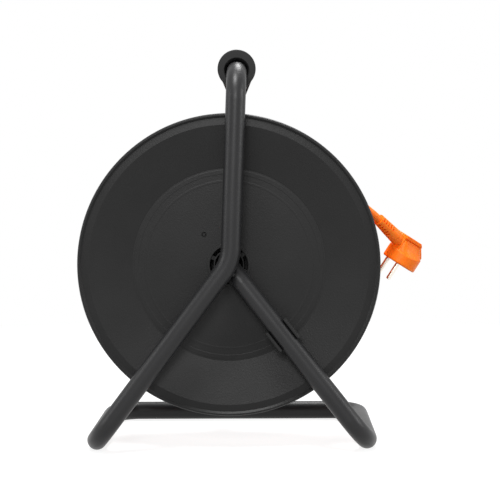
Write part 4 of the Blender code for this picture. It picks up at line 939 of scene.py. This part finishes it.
class REEL_OT_rear_flange(bpy.types.Operator):
    """Draw the rear flange with its hub well, its ring marks and the mark of the mould's gate"""

    bl_idname = "reel.rear_flange"
    bl_label = "Rear flange"

    def execute(self, context):
        drum = context.scene.reel_sizes.drum
        top = REAR_DISC - HUB_RING_RISE
        profile = [
            (BORE_RADIUS, WELL_FLOOR), (BORE_RADIUS, MOUTH_FOOT + MOUTH_TAPER, 0.001),
            (MOUTH_RADIUS, MOUTH_FOOT, 0.001), (MOUTH_RADIUS, MOUTH_REAR, 0.0005),
            (MOUTH_OUTER, MOUTH_REAR, 0.0005), (MOUTH_OUTER, WELL_FLOOR, 0.0008),
            (WELL_RADIUS, WELL_FLOOR, 0.0008), (WELL_RADIUS, top, 0.0006),
            (HUB_RING, top, 0.0004), (HUB_RING, REAR_DISC, 0.0002),
        ]
        for near, far, rise in RING_MARKS:
            profile += [(near - RING_SLOPE, REAR_DISC, 0.0002), (near, REAR_DISC - rise, 0.0001),
                        (far, REAR_DISC - rise, 0.0001), (far + RING_SLOPE, REAR_DISC, 0.0002)]
        profile += flange(REAR_DISC, -1, drum)
        form, mark = lathe(profile, DRUM_STEPS, DRUM, loop=True), bmesh.new()
        at = DRUM @ Matrix.Translation((*GATE_MARK, REAR_DISC))
        loft(mark, turned(GATE_GROOVE, HOLE_STEPS, at), loop=True)
        form = carved(form, mark)
        middle = (MOUTH_OUTER + WELL_RADIUS) / 2
        rib_top = MOUTH_REAR + HUB_RIB_DROP
        height = WELL_FLOOR - rib_top
        size = (WELL_RADIUS - MOUTH_OUTER + HUB_RIB_SINK, HUB_RIB, height)
        for i in range(HUB_RIBS):
            spin = Matrix.Rotation(2 * math.pi * (i + 0.5) / HUB_RIBS + HUB_RIB_TURN, 4, "Z")
            rib = DRUM @ spin @ Matrix.Translation((middle, 0, rib_top + height / 2))
            block(form, size, rib, HUB_RIB_EDGE)
        show("drum_rear", form, "plastic", "drum", ["rear_flange"])
        return {"FINISHED"}


class REEL_OT_front_flange(bpy.types.Operator):
    """Draw the front flange with the knob's boss"""

    bl_idname = "reel.front_flange"
    bl_label = "Front flange"

    def execute(self, context):
        drum = context.scene.reel_sizes.drum
        face = FRONT_DISC + BOSS_RISE
        profile = [(BORE_RADIUS, FRONT_INNER), (BORE_RADIUS, face, 0.0004),
                   (BOSS_RADIUS, face, 0.0006), (BOSS_RADIUS, FRONT_DISC, 0.0008)]
        profile += flange(FRONT_DISC, 1, drum)
        form = lathe(profile, DRUM_STEPS, DRUM)
        at = DRUM @ Matrix.Translation((0, drum - KNOB_INSET, KNOB_FOOT - JOINT_GAP))
        loft(form, turned(rounded(KNOB_BOSS, KNOB_BOSS_ROUNDING), ROD_STEPS, at))
        show("drum_front", form, "plastic", "drum", ["front_flange"])
        return {"FINISHED"}


class REEL_OT_socket_panel(bpy.types.Operator):
    """Draw the round panel and the four socket wells in it"""

    bl_idname = "reel.socket_panel"
    bl_label = "Socket panel"

    def execute(self, context):
        foot, under = FRONT_DISC + JOINT_GAP, PANEL_TOP - PANEL_WALL
        inside = PANEL_RADIUS - PANEL_WALL
        profile = [
            (inside, foot), (inside, under - PANEL_CORNER_DROP, 0.001),
            (inside - PANEL_CORNER_RUN, under), (PANEL_HOLE, under),
            (PANEL_HOLE, PANEL_TOP, 0.0006), (PANEL_RADIUS - PANEL_EDGE, PANEL_TOP, 0.004),
            (PANEL_RADIUS, PANEL_TOP - PANEL_EDGE_DROP, 0.002), (PANEL_RADIUS, foot)]
        form, holes = lathe(profile, PANEL_STEPS, DRUM, loop=True), bmesh.new()
        for degrees in SOCKET_ANGLES:
            ends = [DRUM @ polar(SOCKET_CIRCLE, degrees, depth) for depth in (foot, SOCKET_TOP)]
            rod(holes, *ends, SOCKET_OUTER + JOINT_GAP, KNOB_STEPS)
        neck = [DRUM @ polar(CUTOUT_CIRCLE, CUTOUT_ANGLE, depth) for depth in (foot, SOCKET_TOP)]
        rod(holes, *neck, NECK_RADIUS + JOINT_GAP)
        form = carved(form, holes)
        height = LID_AXIS + KNUCKLE_RADIUS - under
        size = (2 * KNUCKLE_RADIUS, LUG_WIDTH, height)
        for degrees in SOCKET_ANGLES:
            for side in (-1, 1):
                place = (0, side * LUG_MIDDLE, KNUCKLE_RADIUS - height / 2)
                block(form, size, lid_frame(degrees) @ Matrix.Translation(place), LUG_EDGE)
        show("front_panel", form, "plastic", "drum", ["socket_panel"])
        for i, degrees in enumerate(SOCKET_ANGLES, 1):
            self.well(i, degrees)
        return {"FINISHED"}

    def well(self, number, degrees):
        """A round well with two pin holes in its floor."""
        spin = Matrix.Rotation(math.radians(degrees), 4, "Z")
        at = DRUM @ spin @ Matrix.Translation((SOCKET_CIRCLE, 0, 0))
        ledge, bottom = SOCKET_TOP - SOCKET_RIM_HEIGHT, SOCKET_FLOOR - SOCKET_BASE
        floor = SOCKET_FLOOR + STRAP_COVER
        profile = [
            (0, floor), (SOCKET_RADIUS, floor), (SOCKET_RADIUS, SOCKET_TOP, 0.0005),
            (SOCKET_RIM, SOCKET_TOP, 0.0006), (SOCKET_RIM, ledge), (SOCKET_OUTER, ledge),
            (SOCKET_OUTER, bottom), (0, bottom)]
        form, holes = lathe(profile, SOCKET_STEPS, at), bmesh.new()
        depths = (bottom - CUT_OVERRUN, floor + CUT_OVERRUN)
        for side in (-1, 1):
            ends = [at @ Vector((side * PIN_SPACING / 2, 0, depth)) for depth in depths]
            rod(holes, *ends, PIN_RADIUS + JOINT_GAP, HOLE_STEPS)
        form = carved(form, holes)
        show("well_%d" % number, form, "plastic", "drum", ["socket_%d" % number])


def lid_frame(degrees):
    """A lid's hinge: X points away from the drum's axis, Y lies along the pin."""
    spin = Matrix.Rotation(math.radians(degrees), 4, "Z")
    return DRUM @ spin @ Matrix.Translation((SOCKET_CIRCLE + LID_HINGE, 0, LID_AXIS))


class REEL_OT_lids(bpy.types.Operator):
    """Draw the sprung lids over the sockets"""

    bl_idname = "reel.lids"
    bl_label = "Socket lids"

    def execute(self, context):
        for i, degrees in enumerate(SOCKET_ANGLES, 1):
            at = lid_frame(degrees)
            middle = at @ Matrix.Translation((-LID_HINGE, 0, 0))
            form = lathe(LID_PROFILE, SOCKET_STEPS, middle, LID_ROUNDING)
            arm = at @ Matrix.Translation((-LID_ARM[0] / 2, 0, 0))
            block(form, LID_ARM, arm, LID_ARM_EDGE)
            tab = at @ Matrix.Translation((-LID_HINGE - LID_RADIUS, 0, 0))
            block(form, LID_TAB, tab, LID_TAB_EDGE)
            ends = [at @ Vector((0, y, 0)) for y in (-KNUCKLE_HALF, KNUCKLE_HALF)]
            rod(form, *ends, KNUCKLE_RADIUS, HOLE_STEPS)
            show("lid_cover_%d" % i, form, "plastic", "lid_%d" % i, ["socket_lid_%d" % i])
        return {"FINISHED"}


class REEL_OT_controls(bpy.types.Operator):
    """Draw the winding knob and the reset button"""

    bl_idname = "reel.controls"
    bl_label = "Knob and button"

    def execute(self, context):
        at = DRUM @ Matrix.Translation((0, context.scene.reel_sizes.drum - KNOB_INSET, 0))
        form = lathe(KNOB_PROFILE, KNOB_STEPS, at)
        show("crank_knob", form, "plastic", "knob", ["winding_knob"])
        at = DRUM @ Matrix.Translation(polar(CUTOUT_CIRCLE, CUTOUT_ANGLE, 0))
        form = lathe(BUTTON_PROFILE, PIN_STEPS, at)
        show("red_button", form, "button", "reset", ["reset_button"])
        return {"FINISHED"}


class REEL_OT_fittings(bpy.types.Operator):
    """Draw the screws' heads and give the small CAD pieces their materials"""

    bl_idname = "reel.fittings"
    bl_label = "Fittings"

    def execute(self, context):
        for i, degrees in enumerate(PANEL_SCREW_ANGLES, 1):
            place = polar(PANEL_SCREW_CIRCLE, degrees, PANEL_TOP + JOINT_GAP)
            at = DRUM @ Matrix.Translation(place)
            form = lathe(SCREW_PROFILE, PIN_STEPS, at)
            slot = at @ Matrix.Translation((0, 0, SCREW_RISE))
            for size in CROSS_SLOTS:
                cut = bmesh.new()
                block(cut, size, slot, CROSS_SLOT_EDGE)
                form = carved(form, cut)
            show("panel_screw_head_%d" % i, form, "zinc_plated_steel", "drum",
                 ["panel_screw_%d" % i])
        screws, pins, clips = (
            ["%s_%d" % (name, i) for i in range(1, 5)]
            for name in ("drum_screw", "lid_pin", "earth_clip"))
        dress("zinc_plated_steel", "zinc_steel", *screws, *pins, "axle_washer", "knob_pin")
        dress("nickel_plate", "brass", *clips, edge=0.0002)
        dress("brass_strip", "brass", "live_ring", "earth_ring", "neutral_ring")
        dress("nylon", "white_plastic", "terminal_block", "thermal_cutout", edge=0.0004)
        dress("plastic", "black_plastic", "axle_end_cap", edge=0.0006)
        dress("cable", "orange_pvc", "inner_lead")
        return {"FINISHED"}


class REEL_OT_stage(bpy.types.Operator):
    """Set up the camera, the lights, the pale floor and the white surroundings"""

    bl_idname = "reel.stage"
    bl_label = "Stage"

    def execute(self, context):
        scene = context.scene
        scene.view_settings.view_transform = "Standard"
        self.camera(scene)
        for name, place, width, power in LIGHTS:
            data = bpy.data.lights.new(name, "AREA")
            data.size = width
            data.energy = power
            lamp = bpy.data.objects.new(name, data)
            scene.collection.objects.link(lamp)
            way = Vector(LIGHT_TARGET) - Vector(place)
            turn = way.to_track_quat("-Z", "Y").to_matrix().to_4x4()
            lamp.matrix_world = Matrix.Translation(place) @ turn
        form = bmesh.new()
        bmesh.ops.create_circle(form, cap_ends=True, segments=FLOOR_SIDES, radius=FLOOR_RADIUS)
        floor = bpy.data.objects.new("floor", mesh_of(form, "floor"))
        floor.location.z = FLOOR_LEVEL
        scene.collection.objects.link(floor)
        floor.data.materials.append(self.floor_look())
        self.surroundings(scene)
        return {"FINISHED"}

    def camera(self, scene):
        yaw, pitch, roll = CAMERA_YAW, CAMERA_PITCH, CAMERA_ROLL
        flat = math.cos(pitch)
        ahead = Vector((-math.sin(yaw) * flat, math.cos(yaw) * flat, math.sin(pitch)))
        level = Vector((math.cos(yaw), math.sin(yaw), 0))
        above = level.cross(ahead)
        right = level * math.cos(roll) + above * math.sin(roll)
        up = above * math.cos(roll) - level * math.sin(roll)
        data = bpy.data.cameras.new("camera")
        data.lens = CAMERA_LENS
        data.sensor_width = CAMERA_SENSOR
        camera = bpy.data.objects.new("camera", data)
        scene.collection.objects.link(camera)
        turn = Matrix((right, up, -ahead)).transposed().to_4x4()
        camera.matrix_world = Matrix.Translation(CAMERA_PLACE) @ turn
        scene.camera = camera

    def background_ray(self, tree):
        """1 where the surroundings are seen, also in gloss or glass, 0 where they only light."""
        path = node(tree, "ShaderNodeLightPath", {})
        gloss = node(tree, "ShaderNodeMath", {
            "operation": "MAXIMUM",
            0: path.outputs["Is Glossy Ray"], 1: path.outputs["Is Transmission Ray"]})
        seen = node(tree, "ShaderNodeMath", {
            "operation": "MAXIMUM", 0: path.outputs["Is Camera Ray"], 1: gloss.outputs[0]})
        return seen.outputs[0]

    def floor_look(self):
        """Matt paper that is lifted to the white of the surroundings where it is seen."""
        made = bpy.data.materials.new("white_paper")
        made.use_nodes = True
        tree = made.node_tree
        tree.nodes.remove(tree.nodes["Principled BSDF"])
        paper = node(tree, "ShaderNodeBsdfDiffuse", {"Color": FLOOR_TONE})
        lift = node(tree, "ShaderNodeEmission", {"Strength": FLOOR_LIFT})
        both = node(tree, "ShaderNodeAddShader", {0: paper.outputs[0], 1: lift.outputs[0]})
        mix = node(tree, "ShaderNodeMixShader", {
            0: self.background_ray(tree), 1: paper.outputs[0], 2: both.outputs[0]})
        node(tree, tree.nodes["Material Output"], {"Surface": mix.outputs[0]})
        return made

    def surroundings(self, scene):
        """White all round where it is seen, and a softer even light on the object."""
        world = bpy.data.worlds.new("white_room")
        world.use_nodes = True
        scene.world = world
        tree = world.node_tree
        level = node(tree, "ShaderNodeMapRange", {
            "Value": self.background_ray(tree), "To Min": AMBIENT, "To Max": 1.0})
        node(tree, tree.nodes["Background"], {"Color": (1, 1, 1, 1), "Strength": level.outputs[0]})


class REEL_PT_panel(bpy.types.Panel):
    """The reel's tools and settings in the sidebar"""

    bl_idname = "REEL_PT_panel"
    bl_label = "Extension Cord Reel"
    bl_space_type = "VIEW_3D"
    bl_region_type = "UI"
    bl_category = "Reel"

    def draw(self, context):
        for group in (context.scene.reel_sizes, context.scene.reel_colours):
            for name in group.__annotations__:
                self.layout.prop(group, name)
        for step in STEPS:
            self.layout.operator(step.bl_idname)


STEPS = (
    REEL_OT_stage, REEL_OT_plug, REEL_OT_cord, REEL_OT_frame_tube, REEL_OT_carry_grip,
    REEL_OT_glide_clip, REEL_OT_rear_flange, REEL_OT_front_flange, REEL_OT_winding,
    REEL_OT_socket_panel, REEL_OT_lids, REEL_OT_controls, REEL_OT_fittings,
)
CLASSES = (ReelSizes, ReelColours, *STEPS, REEL_PT_panel)


def register():
    for item in CLASSES:
        bpy.utils.register_class(item)
    bpy.types.Scene.reel_sizes = bpy.props.PointerProperty(type=ReelSizes)
    bpy.types.Scene.reel_colours = bpy.props.PointerProperty(type=ReelColours)


def unregister():
    del bpy.types.Scene.reel_colours
    del bpy.types.Scene.reel_sizes
    for item in reversed(CLASSES):
        bpy.utils.unregister_class(item)


def main():
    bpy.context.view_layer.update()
    register()
    make_looks()
    for step in STEPS:
        group, name = step.bl_idname.split(".")
        getattr(getattr(bpy.ops, group), name)()


if __name__ == "__main__":
    main()
